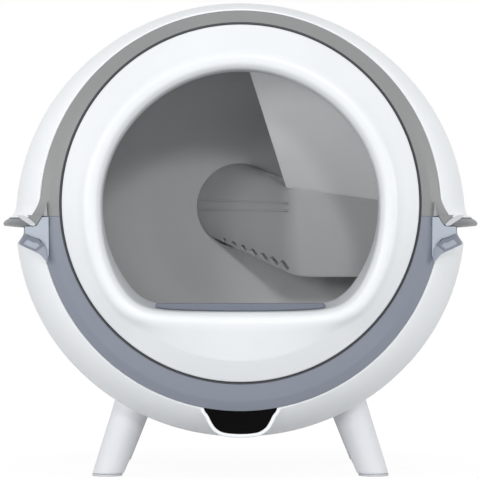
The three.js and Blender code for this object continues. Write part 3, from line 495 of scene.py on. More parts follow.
def solid(loops: Sequence[Loop], closed: bool = False) -> Mesh:
    """Closed body over a row of loops, with its faces turned outward.

    Args:
        loops: loops of points.
        closed: whether the last loop joins the first.

    Returns:
        The mesh.
    """
    mesh = skin(loops, closed=closed)
    bmesh.ops.recalc_face_normals(mesh, faces=mesh.faces)
    return mesh


def spun(profile: Sequence[Vector], turn: float, height: float) -> Loop:
    """Profile of radius and y in one direction from the front-back axis at a height."""
    return [Vector((r * math.cos(turn), y, height + r * math.sin(turn))) for r, y in profile]


def turned(profile: Sequence[Vector], height: float, sides: int = 192) -> Mesh:
    """Body of revolution about the front-back axis at a height, from a profile of radius and y."""
    return solid([spun(profile, turn, height) for turn in directions(sides)], closed=True)


def upright(profile: Sequence[Vector], centre: Vector, sides: int = 64) -> Mesh:
    """Body of revolution about a vertical axis.

    Args:
        profile: closed profile of radius and z.
        centre: point that the axis passes, at z 0 of the profile.
        sides: steps of the turn.

    Returns:
        The mesh.
    """
    loops = []
    for turn in directions(sides):
        across, along = math.cos(turn), math.sin(turn)
        loops.append([centre + Vector((r * across, r * along, z)) for r, z in profile])
    return solid(loops, closed=True)


def plate(outline: Sequence[Vector], front: float, rear: float) -> Mesh:
    """Plate with an outline of x and z, between two depths."""
    return solid([[Vector((x, y, z)) for x, z in outline] for y in (front, rear)])


def joined(*meshes: Mesh) -> Mesh:
    """Puts meshes together.

    Args:
        meshes: the meshes; all but the first are freed.

    Returns:
        The first mesh, with the others in it.
    """
    whole = meshes[0]
    for extra in meshes[1:]:
        copies = {vert: whole.verts.new(vert.co) for vert in extra.verts}
        for face in extra.faces:
            whole.faces.new([copies[vert] for vert in face.verts])
        extra.free()
    return whole


def level_plane(height: float, side: int) -> Plane:
    """Level plane at a height that removes what lies above it (side 1) or below it (side -1)."""
    return Vector((0, 0, height)), Vector((0, 0, side))


def cut_off(mesh: Mesh, plane: Plane, fill: bool = True) -> Mesh:
    """Removes what lies beyond a plane.

    Args:
        mesh: mesh that is cut.
        plane: a point and the normal that shows the side to remove.
        fill: whether the cut is closed.

    Returns:
        The same mesh.
    """
    geometry = [*mesh.verts, *mesh.edges, *mesh.faces]
    cut = bmesh.ops.bisect_plane(mesh, geom=geometry, plane_co=plane[0], plane_no=plane[1],
                                 clear_outer=True)
    if fill:
        edges = [item for item in cut["geom_cut"] if isinstance(item, bmesh.types.BMEdge)]
        bmesh.ops.holes_fill(mesh, edges=edges)
    return mesh


def inside_planes(mesh: Mesh, planes: Iterable[Plane],
                  near: Callable[[Vector], bool]) -> list[bmesh.types.BMFace]:
    """Cuts the faces along the planes that bound a convex region.

    Args:
        mesh: mesh whose faces are split.
        planes: points and outward normals of the region.
        near: tells from a face's middle whether the face can be touched.

    Returns:
        The faces that lie in the region.
    """
    inside = [face for face in mesh.faces if near(face.calc_center_median())]
    for point, normal in planes:
        verts = {vert for face in inside for vert in face.verts}
        edges = {edge for face in inside for edge in face.edges}
        cut = bmesh.ops.bisect_plane(mesh, geom=[*verts, *edges, *inside], plane_co=point,
                                     plane_no=normal)
        faces = [item for item in cut["geom"] if isinstance(item, bmesh.types.BMFace)]
        inside = [face for face in faces if (face.calc_center_median() - point).dot(normal) < 0]
    return inside


def opened(mesh: Mesh, planes: Iterable[Plane], near: Callable[[Vector], bool]) -> None:
    """Cuts an opening in the shape of a convex region; near tells which faces it can touch."""
    bmesh.ops.delete(mesh, geom=inside_planes(mesh, planes, near), context="FACES")


def walls_of(outline: Sequence[Vector], grow: float) -> list[Plane]:
    """Planes along the edges of a convex outline of x and z, moved outward.

    Args:
        outline: corners in order.
        grow: distance that each plane moves outward.

    Returns:
        A point and an outward normal for each edge.
    """
    shortest = 1e-4
    middle = sum(outline, Vector((0, 0))) / len(outline)
    planes = []
    for start, end in zip(outline, [*outline[1:], outline[0]]):
        along = end - start
        if along.length < shortest:
            continue
        normal = Vector((along.y, -along.x)).normalized()
        if normal.dot(start - middle) < 0:
            normal = -normal
        point = start + normal * grow
        planes.append((Vector((point.x, 0, point.y)), Vector((normal.x, 0, normal.y))))
    return planes


def face_front(mesh: Mesh) -> None:
    """Turns an open surface so that its normals point to the front.

    Args:
        mesh: surface that is turned.
    """
    mesh.normal_update()
    if sum(face.normal.y * face.calc_area() for face in mesh.faces) > 0:
        bmesh.ops.reverse_faces(mesh, faces=mesh.faces)


def thickened(mesh: Mesh, wall: float, edge: float, steps: int = 4) -> Mesh:
    """Turns an open surface into a wall with rounded outer edges.

    Args:
        mesh: open surface with normals on its outer side; it grows sideways by the rounding.
        wall: thickness towards the inner side.
        edge: radius of the rounding.
        steps: short edges in the rounding.

    Returns:
        The same mesh, now closed.
    """
    mesh.normal_update()
    outer = list(mesh.verts)
    normals = {vert: vert.normal.copy() for vert in outer}
    strips = []
    away = {}
    for item in [rim for rim in mesh.edges if rim.is_boundary]:
        loop = item.link_loops[0]
        start, end = loop.vert, loop.link_loop_next.vert
        strips.append((start, end))
        for vert in (start, end):
            sideway = (end.co - start.co).cross(normals[vert]).normalized()
            away[vert] = away.get(vert, Vector()) + sideway
    inner = {vert: mesh.verts.new(vert.co - normals[vert] * wall) for vert in outer}
    for face in list(mesh.faces):
        mesh.faces.new([inner[vert] for vert in reversed(face.verts)])
    rows = {}
    for vert, direction in away.items():
        out, down = direction.normalized() * edge, normals[vert] * edge
        row = [vert]
        for step in range(1, steps + 1):
            turn = math.pi / 2 * step / steps
            place = vert.co + out * math.sin(turn) - down * (1 - math.cos(turn))
            row.append(mesh.verts.new(place))
        row.append(mesh.verts.new(vert.co + out - normals[vert] * wall))
        row.append(inner[vert])
        rows[vert] = row
    for start, end in strips:
        for k in range(steps + 2):
            corners = (rows[end][k], rows[start][k], rows[start][k + 1], rows[end][k + 1])
            mesh.faces.new(corners)
    mesh.normal_update()
    return mesh


def placed(name: str, data: bpy.types.ID) -> Item:
    """Adds an object to the scene.

    Args:
        name: name of the object.
        data: mesh, camera or lamp that it shows.

    Returns:
        The new object.
    """
    item = bpy.data.objects.new(name, data)
    bpy.context.scene.collection.objects.link(item)
    return item


def soften(item: Item, width: float, angle: float = BEVEL_ANGLE) -> None:
    """Bevels the sharp edges of an object.

    Args:
        item: object that takes the modifier.
        width: width of the bevel in millimetres.
        angle: edges that turn by more than this many degrees are bevelled.
    """
    bevel = item.modifiers.new("edges", "BEVEL")
    bevel.width = width * MM
    bevel.segments = 2
    bevel.limit_method = "ANGLE"
    bevel.angle_limit = math.radians(angle)
    bevel.harden_normals = False


def publish(mesh: Mesh, name: str, finish: Finish, carrier: Body, stands_for: Sequence[str],
            bevel: float = 0.0) -> Item:
    """Makes a finished piece from a mesh in millimetres.

    Args:
        mesh: the shape.
        name: unique name of the piece.
        finish: surface finish.
        carrier: CAD body that carries the piece.
        stands_for: CAD nodes that the piece replaces.
        bevel: width of the bevel on sharp edges, or 0.

    Returns:
        The new object.
    """
    body = carrier.value
    bmesh.ops.scale(mesh, vec=(MM, MM, MM), verts=mesh.verts)
    data = bpy.data.meshes.new(name)
    mesh.to_mesh(data)
    mesh.free()
    data.polygons.foreach_set("use_smooth", [True] * len(data.polygons))
    data.set_sharp_from_angle(angle=math.radians(CREASE_ANGLE))
    item = placed(name, data)
    data.materials.append(finish.material())
    if bevel:
        soften(item, bevel)
    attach(item, body)
    if stands_for:
        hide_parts(*stands_for)
    return item


# ---------------------------------------------------------------- casing


@dataclass(frozen=True)
class Casing:
    """White ball-shaped casing: lifting cover, base with the display pod, and drawer face."""

    half_width: float = 264.8
    half_height: float = 254.5
    centre: float = 298.5
    front_radius: float = 229.3
    front_centre: float = 309.3
    front: float = -213.0
    front_power: float = 4.0
    front_rows: int = 30
    front_crowding: float = 1.1
    dome_depth: float = 243.0
    dome_power: float = 4.5
    dome_rows: int = 44
    rows_left_out: tuple[int, ...] = (1, 2)
    pole_sizes: tuple[float, ...] = (0.16, 0.1, 0.05)
    flat_from: float = 228.0
    flat_depth: float = 8.0
    wall: float = 4.0
    columns: int = 192
    edge: float = 0.9

    def front_size(self, y: float) -> float:
        """Share of the full section ahead of the middle.

        Args:
            y: depth.

        Returns:
            The share, 1 at the middle.
        """
        power = self.front_power
        share = self.front_radius / self.half_width
        depth = abs(self.front) / (1 - share ** power) ** (1 / power)
        return (1 - (abs(y) / depth) ** power) ** (1 / power)

    def section(self, y: float) -> tuple[float, float, float]:
        """Section ahead of the middle.

        Args:
            y: depth.

        Returns:
            Half-width, half-height and height of the centre.
        """
        size = self.front_size(y)
        blend = (1 - size) / (1 - self.front_radius / self.half_width)
        half_height = self.half_height + (self.front_radius - self.half_height) * blend
        centre = self.centre + (self.front_centre - self.centre) * blend
        return self.half_width * size, half_height, centre

    def clamped(self, y: float) -> float:
        """Depth of the dome after its rear is flattened.

        Args:
            y: depth on the full dome.

        Returns:
            The same depth or, near the rear, a lesser one.
        """
        if y <= self.flat_from:
            return y
        rest = math.exp((self.flat_from - y) / self.flat_depth)
        return self.flat_from + self.flat_depth * (1 - rest)

    def dome_size(self, y: float) -> float:
        """Share of the full section behind the middle, at a depth on the full dome."""
        return (1 - (y / self.dome_depth) ** self.dome_power) ** (1 / self.dome_power)

    def half_width_at(self, y: float) -> float:
        """Half of the casing's width at a depth."""
        return self.section(y)[0] if y < 0 else self.half_width * self.dome_size(y)

    def rear_at(self, x: float, z: float, inset: float = 0.0) -> float:
        """Depth of the rear face over a point of the front view.

        Args:
            x: place across.
            z: height.
            inset: distance that the face moves inward.

        Returns:
            The depth.
        """
        power = self.dome_power
        width, height = self.half_width - inset, self.half_height - inset
        out = math.hypot(x / width, (z - self.centre) / height)
        depth = (self.dome_depth - inset) * max(0.0, 1 - min(out, 1) ** power) ** (1 / power)
        return min(self.clamped(depth), self.clamped(self.dome_depth) - inset)

    def outside(self, point: Vector) -> float:
        """How far a point lies beyond the surface.

        Args:
            point: the point.

        Returns:
            The distance as a share of the section; negative inside.
        """
        if point.y < 0:
            width, height, centre = self.section(point.y)
            return math.hypot(point.x / width, (point.z - centre) / height) - 1
        out = math.hypot(point.x / self.half_width, (point.z - self.centre) / self.half_height)
        return out / self.dome_size(point.y) - 1

    def surface(self) -> Mesh:
        """Open outer surface of the whole casing, front edge to rear pole.

        Returns:
            The surface with its normals outward.
        """
        loops = []
        for row in range(self.front_rows):
            y = self.front * (1 - row / self.front_rows) ** self.front_crowding
            loops.append(self._ring(*self.section(y), y))
        power = 2 / self.dome_power
        for row in range(self.dome_rows):
            if row not in self.rows_left_out:
                turn = math.pi / 2 * row / self.dome_rows
                depth = self.dome_depth * math.sin(turn) ** power
                loops.append(self._dome_ring(math.cos(turn) ** power, depth))
        loops += [self._dome_ring(size, self.dome_depth) for size in self.pole_sizes]
        mesh = skin(loops, caps=False)
        mesh.verts.ensure_lookup_table()
        mesh.faces.new([mesh.verts[i - self.columns] for i in range(self.columns)])
        mesh.normal_update()
        mesh.faces.ensure_lookup_table()
        first = mesh.faces[0]
        if first.normal.dot(first.calc_center_median() - Vector((0, 0, self.centre))) < 0:
            bmesh.ops.reverse_faces(mesh, faces=mesh.faces)
        return mesh

    def _dome_ring(self, size: float, depth: float) -> Loop:
        """Section of the rear half, by its share of the full section and its depth."""
        width, height = self.half_width * size, self.half_height * size
        return self._ring(width, height, self.centre, self.clamped(depth))

    def _ring(self, width: float, height: float, centre: float, y: float) -> Loop:
        """One section of the surface."""
        turns = [2 * math.pi * (i + 0.5) / self.columns for i in range(self.columns)]
        return [Vector((width * math.cos(t), y, centre + height * math.sin(t))) for t in turns]


@dataclass(frozen=True)
class DrawerOutline:
    """Outline of the waste drawer in the rear face of the casing."""

    half_width: float = 114.0
    bottom: float = 109.7
    top: float = 250.7
    low_corner: float = 48.0
    high_corner: float = 10.0
    gap: float = 1.2

    def points(self, inset: float = 0.0, steps: int = 12) -> Loop:
        """Outline of x and z.

        Args:
            inset: distance that the outline is drawn in.
            steps: short edges in each corner.

        Returns:
            The points, from the lower right corner on.
        """
        right, low, high = self.half_width - inset, self.bottom + inset, self.top - inset
        arcs = [
            (right - self.low_corner, low + self.low_corner, self.low_corner, -90),
            (right - self.high_corner, high - self.high_corner, self.high_corner, 0),
            (-right + self.high_corner, high - self.high_corner, self.high_corner, 90),
            (-right + self.low_corner, low + self.low_corner, self.low_corner, 180),
        ]
        outline = []
        for x, z, radius, start in arcs:
            for step in range(steps + 1):
                turn = math.radians(start + 90 * step / steps)
                outline.append(Vector((x + radius * math.cos(turn), z + radius * math.sin(turn))))
        return outline


@dataclass(frozen=True)
class PodOutline:
    """S-sided outline of the display window under the chin of the casing."""

    half_width: float = 42.0
    bottom: float = 55.6
    top: float = 86.1
    shares: tuple[tuple[float, float], ...] = (
        (1, 1), (0.96, 0.847), (0.871, 0.686), (0.786, 0.449), (0.662, 0.213), (0.44, 0.052),
        (0, 0))

    def points(self, margin: float = 0.0, steps: int = 5) -> Loop:
        """Line from the top right corner down and up to the top left corner.

        Args:
            margin: distance that the line grows.
            steps: short edges between two of its stations.

        Returns:
            The points of x and z.
        """
        tall = self.top - self.bottom
        half = [Vector((self.half_width * w, self.bottom + tall * h)) for w, h in self.shares]
        whole = half + [Vector((-point.x, point.y)) for point in reversed(half[:-1])]
        return sideways(catmull(whole, steps), margin)


@dataclass(frozen=True)
class CasingParts:
    """Pieces cut from the casing surface."""

    casing: Casing = field(default_factory=Casing)
    drawer: DrawerOutline = field(default_factory=DrawerOutline)
    pod: PodOutline = field(default_factory=PodOutline)
    split: float = SPLIT
    seam: float = 0.3
    groove_top_rear: float = 165.3
    groove_bottom: float = 272.0
    groove_reach: float = 30.0
    inlet: tuple[float, float] = (155.0, 201.7)
    inlet_radius: float = 9.6
    inlet_sides: int = 30
    rear_reach: float = 100.0
    window_margin: float = 1.2
    window_reach: tuple[float, float] = (-170.0, 100.0)
    pod_rim: float = 4.2
    pod_root: float = 3.36
    pod_inside: float = -2.4
    pod_proud: float = 0.2
    pod_rear: float = -42.0
    recess_rear: float = -150.0

    def build(self) -> list[Item]:
        """Builds the cover, the base shell and the drawer's face."""
        return [self._cover(), self._base(), self._fascia()]

    def _cover(self) -> Item:
        """Upper half of the casing, down to the split.

        Returns:
            The finished piece.
        """
        casing = self.casing
        mesh = casing.surface()
        cut_off(mesh, level_plane(self.split + self.seam + casing.edge, -1), fill=False)
        thickened(mesh, casing.wall, casing.edge)
        return publish(mesh, "casing_cover", WHITE, Body.COVER, ["upper_cover"])

    def _base(self) -> Item:
        """Lower half of the casing with its openings and the display pod.

        Returns:
            The finished piece.
        """
        casing, edge = self.casing, self.casing.edge
        mesh = casing.surface()
        cut_off(mesh, level_plane(self.split - edge, 1), fill=False)
        groove = [
            (Vector((0, self.groove_top_rear + edge, 0)), Vector((0, 1, 0))),
            level_plane(self.groove_bottom - edge, -1),
        ]
        opened(mesh, groove, lambda middle: middle.z > self.groove_bottom - self.groove_reach)
        for outline in (self.drawer.points(), self._socket()):
            opened(mesh, walls_of(outline, edge), self._at_rear)
        window = self._hull(self.pod.points(self.window_margin))
        ahead, below = self.window_reach
        opened(mesh, walls_of(window, 0), lambda middle: middle.y < ahead and middle.z < below)
        thickened(mesh, casing.wall, edge)
        whole = joined(mesh, self._pod())
        return publish(whole, "casing_base", WHITE, Body.BASE, ["base_shell"])

    def _at_rear(self, middle: Vector) -> bool:
        """Tells whether a face lies where the drawer and the inlet are."""
        return middle.y > self.rear_reach

    def _socket(self) -> Loop:
        """Round hole of the inlet."""
        (x, z), radius, turns = self.inlet, self.inlet_radius, directions(self.inlet_sides)
        return [Vector((x + radius * math.cos(t), z + radius * math.sin(t))) for t in turns]

    def _hull(self, line: Sequence[Vector]) -> Loop:
        """Convex outline round a line.

        Args:
            line: points of x and z.

        Returns:
            The corners of the outline in order.
        """
        ordered = sorted(line, key=lambda point: (point.x, point.y))
        halves = []
        for points in (ordered, list(reversed(ordered))):
            half: Loop = []
            for point in points:
                while len(half) > 1 and (half[-1] - half[-2]).cross(point - half[-2]) <= 0:
                    half.pop()
                half.append(point)
            halves.append(half[:-1])
        return halves[0] + halves[1]

    def _pod(self) -> Mesh:
        """Rim round the display that runs back and fades into the underside of the casing.

        Returns:
            The closed rim.
        """
        front, rear, fade = self.casing.front - self.pod_proud, self.pod_rear, self.recess_rear
        profile = filleted([
            (0, fade, 0), (0, front, 0.8), (self.pod_rim, front, 2.0), (self.pod_root, fade, 30),
            (0, rear, 0), (self.pod_inside, rear, 0), (self.pod_inside, fade, 0)], steps=5)
        loops = []
        for point, grown in zip(self.pod.points(), self.pod.points(1.0)):
            out = grown - point
            loops.append([Vector((point.x + out.x * m, y, point.y + out.y * m))
                          for m, y in profile])
        return solid(loops)

    def _fascia(self) -> Item:
        """Rear face of the waste drawer, flush with the casing.

        Returns:
            The finished piece.
        """
        casing = self.casing
        mesh = casing.surface()
        planes = walls_of(self.drawer.points(self.drawer.gap), -casing.edge)
        kept = set(inside_planes(mesh, planes, self._at_rear))
        doomed = [face for face in mesh.faces if face not in kept]
        bmesh.ops.delete(mesh, geom=doomed, context="FACES")
        thickened(mesh, casing.wall, casing.edge)
        return publish(mesh, "drawer_face", WHITE, Body.BIN, ["bin_fascia"])


# ---------------------------------------------------------------- front surround and side rails


@dataclass(frozen=True)
class Surround:
    """Grey upper and blue-grey lower half of the surround, with their flares beside the split."""

    axis: float = DRUM_AXIS
    centre: float = 309.3
    inner: float = 205.2
    outer: float = 227.4
    front: float = -222.0
    crease_y: float = -219.6
    outer_y: float = -214.2
    back_y: float = -213.3
    crease_width: float = 11.0
    sleeve_end: float = -202.0
    wall: float = 3.0
    split: float = SPLIT
    seam: float = 0.3
    cover_flare: float = 11.0
    base_flare: float = 16.0
    fade: float = 26.0
    ledge_top: float = 291.0
    ledge_turn: float = -0.12
    ledge_step: float = 0.05
    shelf_bottom: float = 272.0
    sides: int = 240
    seal: Corners = (
        (-2.2, -220.6, 0.5), (0.1, -220.6, 0.2), (0.1, -216.0, 0.2), (-2.2, -216.0, 0.5))

    def build(self) -> list[Item]:
        """Builds both halves and the seal in the gap round the entry ring."""
        return [self._cover_half(), self._base_half(), self._seal("seal_upper", 1, Body.COVER),
                self._seal("seal_lower", -1, Body.BASE)]

    def _seal(self, name: str, side: int, body: Body) -> Item:
        """Half of the soft seal, above or below the split.

        Args:
            name: unique name of the piece.
            side: 1 above the split and -1 below it.
            body: CAD body that carries the piece.

        Returns:
            The finished piece.
        """
        corners = [(self.inner + out, y, rounding) for out, y, rounding in self.seal]
        profile = filleted(corners, steps=3)
        mesh = cut_off(turned(profile, self.axis), level_plane(self.split, -side))
        # The seal's dark grey paints the shade in the gap round the ring.
        return publish(mesh, name, SEAL_GAP_SHADE, body, [])

    def _reach(self, turn: float) -> float:
        """Distance from the drum axis to the plain outer edge in one direction."""
        drop = self.axis - self.centre
        return -drop * math.sin(turn) + math.sqrt(self.outer ** 2 - (drop * math.cos(turn)) ** 2)

    def _loops(self, flare: Callable[[float], float], turns: Sequence[float]) -> list[Loop]:
        """Profiles of the surround.

        Args:
            flare: how far the outer edge stands out at a height.
            turns: directions from the axis.

        Returns:
            A profile for each direction.
        """
        loops = []
        back, end = self.inner + self.wall, self.sleeve_end
        for turn in turns:
            plain = self._reach(turn)
            outer = plain + flare(self.axis + plain * math.sin(turn))
            loops.append(spun(filleted([
                (self.inner, self.front, 0.7), (plain - self.crease_width, self.crease_y, 1.6),
                (outer, self.outer_y, 0.7), (outer, self.back_y, 0.5),
                (back, self.front + self.wall, 1), (back, end, 0.5), (self.inner, end, 0.5),
            ], steps=3), turn, self.axis))
        return loops

    def _cover_flare(self, height: float) -> float:
        """How far the pointed tongue of the upper half stands out at a height."""
        away = max(0.0, (height - self.split) / self.fade)
        return self.cover_flare * max(0.0, 1 - away) ** 2

    def _base_flare(self, height: float) -> float:
        """How far the facet towards the ledge stands out.

        Args:
            height: height on the outer edge.

        Returns:
            The distance, 0 above the ledge.
        """
        if height > self.ledge_top:
            return 0.0
        away = max(0.0, (self.shelf_bottom - height) / self.fade)
        return self.base_flare * max(0.0, 1 - away) ** 2

    def _cover_half(self) -> Item:
        """Upper half with a pointed tongue down each side.

        Returns:
            The finished piece.
        """
        mesh = solid(self._loops(self._cover_flare, directions(self.sides)), closed=True)
        cut_off(mesh, level_plane(self.split, -1))
        return publish(mesh, "surround_upper", TRIM_GREY, Body.COVER, ["cover_front_trim"],
                       bevel=0.5)

    def _base_half(self) -> Item:
        """Lower half with a facet out to each ledge.

        Returns:
            The finished piece.
        """
        turns = set(directions(self.sides))
        for step in (-self.ledge_step, self.ledge_step):
            lift = math.asin((self.ledge_top + step - self.axis) / self._reach(self.ledge_turn))
            turns |= {lift % (2 * math.pi), math.pi - lift}
        mesh = solid(self._loops(self._base_flare, sorted(turns)), closed=True)
        cut_off(mesh, level_plane(self.split - self.seam, 1))
        return publish(mesh, "surround_lower", TRIM_BLUE, Body.BASE, ["base_front_trim"], bevel=0.5)


@dataclass(frozen=True)
class Rail:
    """Strip along each side of the casing.

    Its section has corners of reach beyond the casing, height over the split and rounding.
    """

    stem: str
    section: Corners
    finish: Finish
    body: Body
    node: str = ""
    bevel: float = 0.0


@dataclass(frozen=True)
class SideRails:
    """Lifting brims of the cover, the coves over them, and the finger ledges of the base."""

    casing: Casing = field(default_factory=Casing)
    front: float = -212.7
    rear: float = 165.0
    top: float = SPLIT
    steps: int = 48
    rails: tuple[Rail, ...] = (
        Rail("brim", ((-8, 0, 0.6), (0.9, 0, 2), (8.5, -1.8, 3), (13.4, -4.8, 2.5), (15, -8, 1.5),
                      (13.6, -10.4, 1.2), (0, -11.8, 1.5), (-8, -11.8, 0.6)),
             # The brim takes a darker copy of the trim plastic: painted shade.
             BRIM_PAINTED_SHADE, Body.COVER, "cover_brim", 0.5),
        Rail("cove", ((-3, 20, 0.3), (-1.4, 20, 0.3), (0.2, 9, 6), (2.2, 3, 2.5), (9, -1.2, 0.4),
                      (-3, -1.2, 0.3)), WHITE, Body.COVER),
        Rail("ledge", ((-13.2, -12.1, 0.5), (-9.2, -12.1, 0.8), (-9.2, -20.5, 4), (-1.8, -30.8, 2),
                       (-4.2, -31.7, 0.4), (-6.6, -43.5, 0.8), (-13.2, -43.5, 0.8)),
             TRIM_BLUE, Body.BASE, "base_rim", 0.4),
    )

    def build(self) -> list[Item]:
        """Builds the rails of each side.

        Returns:
            The finished pieces.
        """
        items = []
        for hand, side in HANDS:
            for rail in self.rails:
                nodes = [f"{rail.node}_{hand}"] if rail.node else []
                mesh = self._band(side, rail.section)
                name = f"{rail.stem}_{hand}"
                items.append(publish(mesh, name, rail.finish, rail.body, nodes, rail.bevel))
        return items

    def _band(self, side: int, section: Corners) -> Mesh:
        """Band along one side of the casing.

        Args:
            side: -1 for the left, 1 for the right.
            section: corners of reach beyond the casing, height over the split and rounding.

        Returns:
            The closed band.
        """
        line = filleted([(reach, self.top + rise, rounding) for reach, rise, rounding in section])
        loops = []
        for i in range(self.steps + 1):
            y = self.front + (self.rear - self.front) * i / self.steps
            edge = self.casing.half_width_at(y)
            loops.append([Vector((side * (edge + reach), y, z)) for reach, z in line])
        return solid(loops)


@dataclass(frozen=True)
class Facet:
    """Flat face of a lug: corners of reach from the middle plane, height and depth."""

    corners: Corners
    thickness: float = 3.0

    def mesh(self, side: int) -> Mesh:
        """Plate with the facet as its front.

        Args:
            side: -1 for the left, 1 for the right.

        Returns:
            The closed plate.
        """
        front = [Vector((side * reach, depth, height)) for reach, height, depth in self.corners]
        back = [point + Vector((0, self.thickness, 0)) for point in front]
        return solid([front, back])


@dataclass(frozen=True)
class Lugs:
    """Facets where the surround meets the finger recess, on both sides of the front."""

    spike: tuple[Facet, ...] = (
        Facet(((220.2, 319.4, -222.4), (218.4, 303.4, -222.9), (222.9, 303.4, -221.9),
               (221.0, 312.6, -222.2))),
    )
    recess: tuple[Facet, ...] = (
        Facet(((224.4, 302.2, -221.6), (217.4, 302.2, -222.9), (217.1, 276.1, -222.9),
               (227.5, 277.3, -218.6), (230.6, 292.6, -219.4))),
        Facet(((230.6, 292.6, -219.4), (227.5, 277.3, -218.6), (237.7, 280.1, -216.6),
               (244.5, 284.0, -214.4), (244.6, 291.2, -213.4), (234.8, 291.3, -217.6))),
        Facet(((227.5, 277.3, -218.6), (217.1, 276.1, -222.9), (217.1, 259.1, -222.7),
               (219.9, 249.5, -222.2), (222.8, 264.8, -220.4), (222.8, 269.9, -219.6))),
    )
    pocket: tuple[Facet, ...] = (
        Facet(((244.4, 282.9, -218.2), (237.7, 279.5, -220.4), (234.9, 273.3, -218.2),
               (241.6, 276.7, -216.4))),
        Facet(((237.7, 279.5, -220.4), (228.6, 276.7, -222.4), (230.9, 273.3, -219.2),
               (234.9, 273.3, -218.2))),
        Facet(((228.6, 276.7, -222.4), (223.0, 270.5, -223.2), (227.5, 269.9, -219.8),
               (230.9, 273.3, -219.2))),
        Facet(((223.0, 270.5, -223.2), (232.0, 262.6, -221.4), (232.6, 265.9, -218.8),
               (227.5, 269.9, -219.8))),
        Facet(((232.0, 262.6, -221.4), (241.1, 266.5, -219.4), (240.0, 268.8, -217.4),
               (232.6, 265.9, -218.8))),
        Facet(((241.1, 266.5, -219.4), (250.8, 271.0, -217.4), (246.2, 272.2, -215.8),
               (240.0, 268.8, -217.4))),
        Facet(((250.8, 271.0, -217.4), (244.4, 282.9, -218.2), (241.6, 276.7, -216.4),
               (246.2, 272.2, -215.8))),
    )
    pocket_floor: tuple[Facet, ...] = (
        Facet(((241.9, 276.9, -216.2), (230.6, 273.6, -219.0), (227.2, 269.6, -219.6),
               (232.5, 265.6, -218.6), (240.0, 268.4, -217.0), (246.4, 271.8, -215.8))),
    )
    chin: tuple[Facet, ...] = (
        Facet(((223.0, 269.9, -223.4), (219.6, 264.8, -223.8), (218.6, 251.4, -223.4),
               (220.9, 252.6, -222.8), (226.4, 259.7, -222.2), (232.0, 262.2, -221.8))),
    )
    tongue: tuple[Facet, ...] = (
        Facet(((241.7, 304.4, -216.4), (224.1, 304.4, -221.2), (226.4, 300.5, -220.4),
               (230.7, 293.6, -218.4), (233.8, 292.9, -217.2))),
    )
    # Pale strip at the cover's lower front corner; its pale tone is a painted highlight along that
    # edge.
    edge_highlight: tuple[Facet, ...] = (
        Facet(((255.3, 304.5, -212.4), (246.2, 304.0, -214.6), (239.5, 300.6, -218.0),
               (232.2, 294.1, -219.2), (233.6, 292.0, -217.8), (238.0, 292.6, -215.6),
               (249.4, 300.2, -213.4)), thickness=2.0),
    )

    def build(self) -> list[Item]:
        """Builds the pieces of both lugs.

        Returns:
            The finished pieces.
        """
        rows = (
            # The recess facets take a lighter copy of the trim plastic: painted light.
            ("recess", self.recess, TRIM_PAINTED_LIGHT, Body.BASE),
            ("pocket", self.pocket, TRIM_BLUE, Body.BASE),
            # The pocket floor takes a lighter copy of the trim plastic: painted light on the middle
            # of the recess.
            ("pocket_floor", self.pocket_floor, POCKET_PAINTED_LIGHT, Body.BASE),
            # The chin facet takes a lighter copy of the trim plastic: painted light.
            ("chin", self.chin, CHIN_PAINTED_LIGHT, Body.BASE),
            # The spike takes a lighter copy of the trim plastic: a painted highlight on the crease.
            ("spike", self.spike, SPIKE_PAINTED_HIGHLIGHT, Body.COVER),
            ("tongue", self.tongue, TRIM_GREY, Body.COVER),
            # The pale strip paints the highlight along the cover's lower front edge.
            ("edge_highlight", self.edge_highlight, LINER, Body.COVER),
        )
        items = []
        for hand, side in HANDS:
            for stem, facets, finish, body in rows:
                mesh = joined(*[facet.mesh(side) for facet in facets])
                items.append(publish(mesh, f"{stem}_{hand}", finish, body, []))
        return items


# ---------------------------------------------------------------- entry and drum


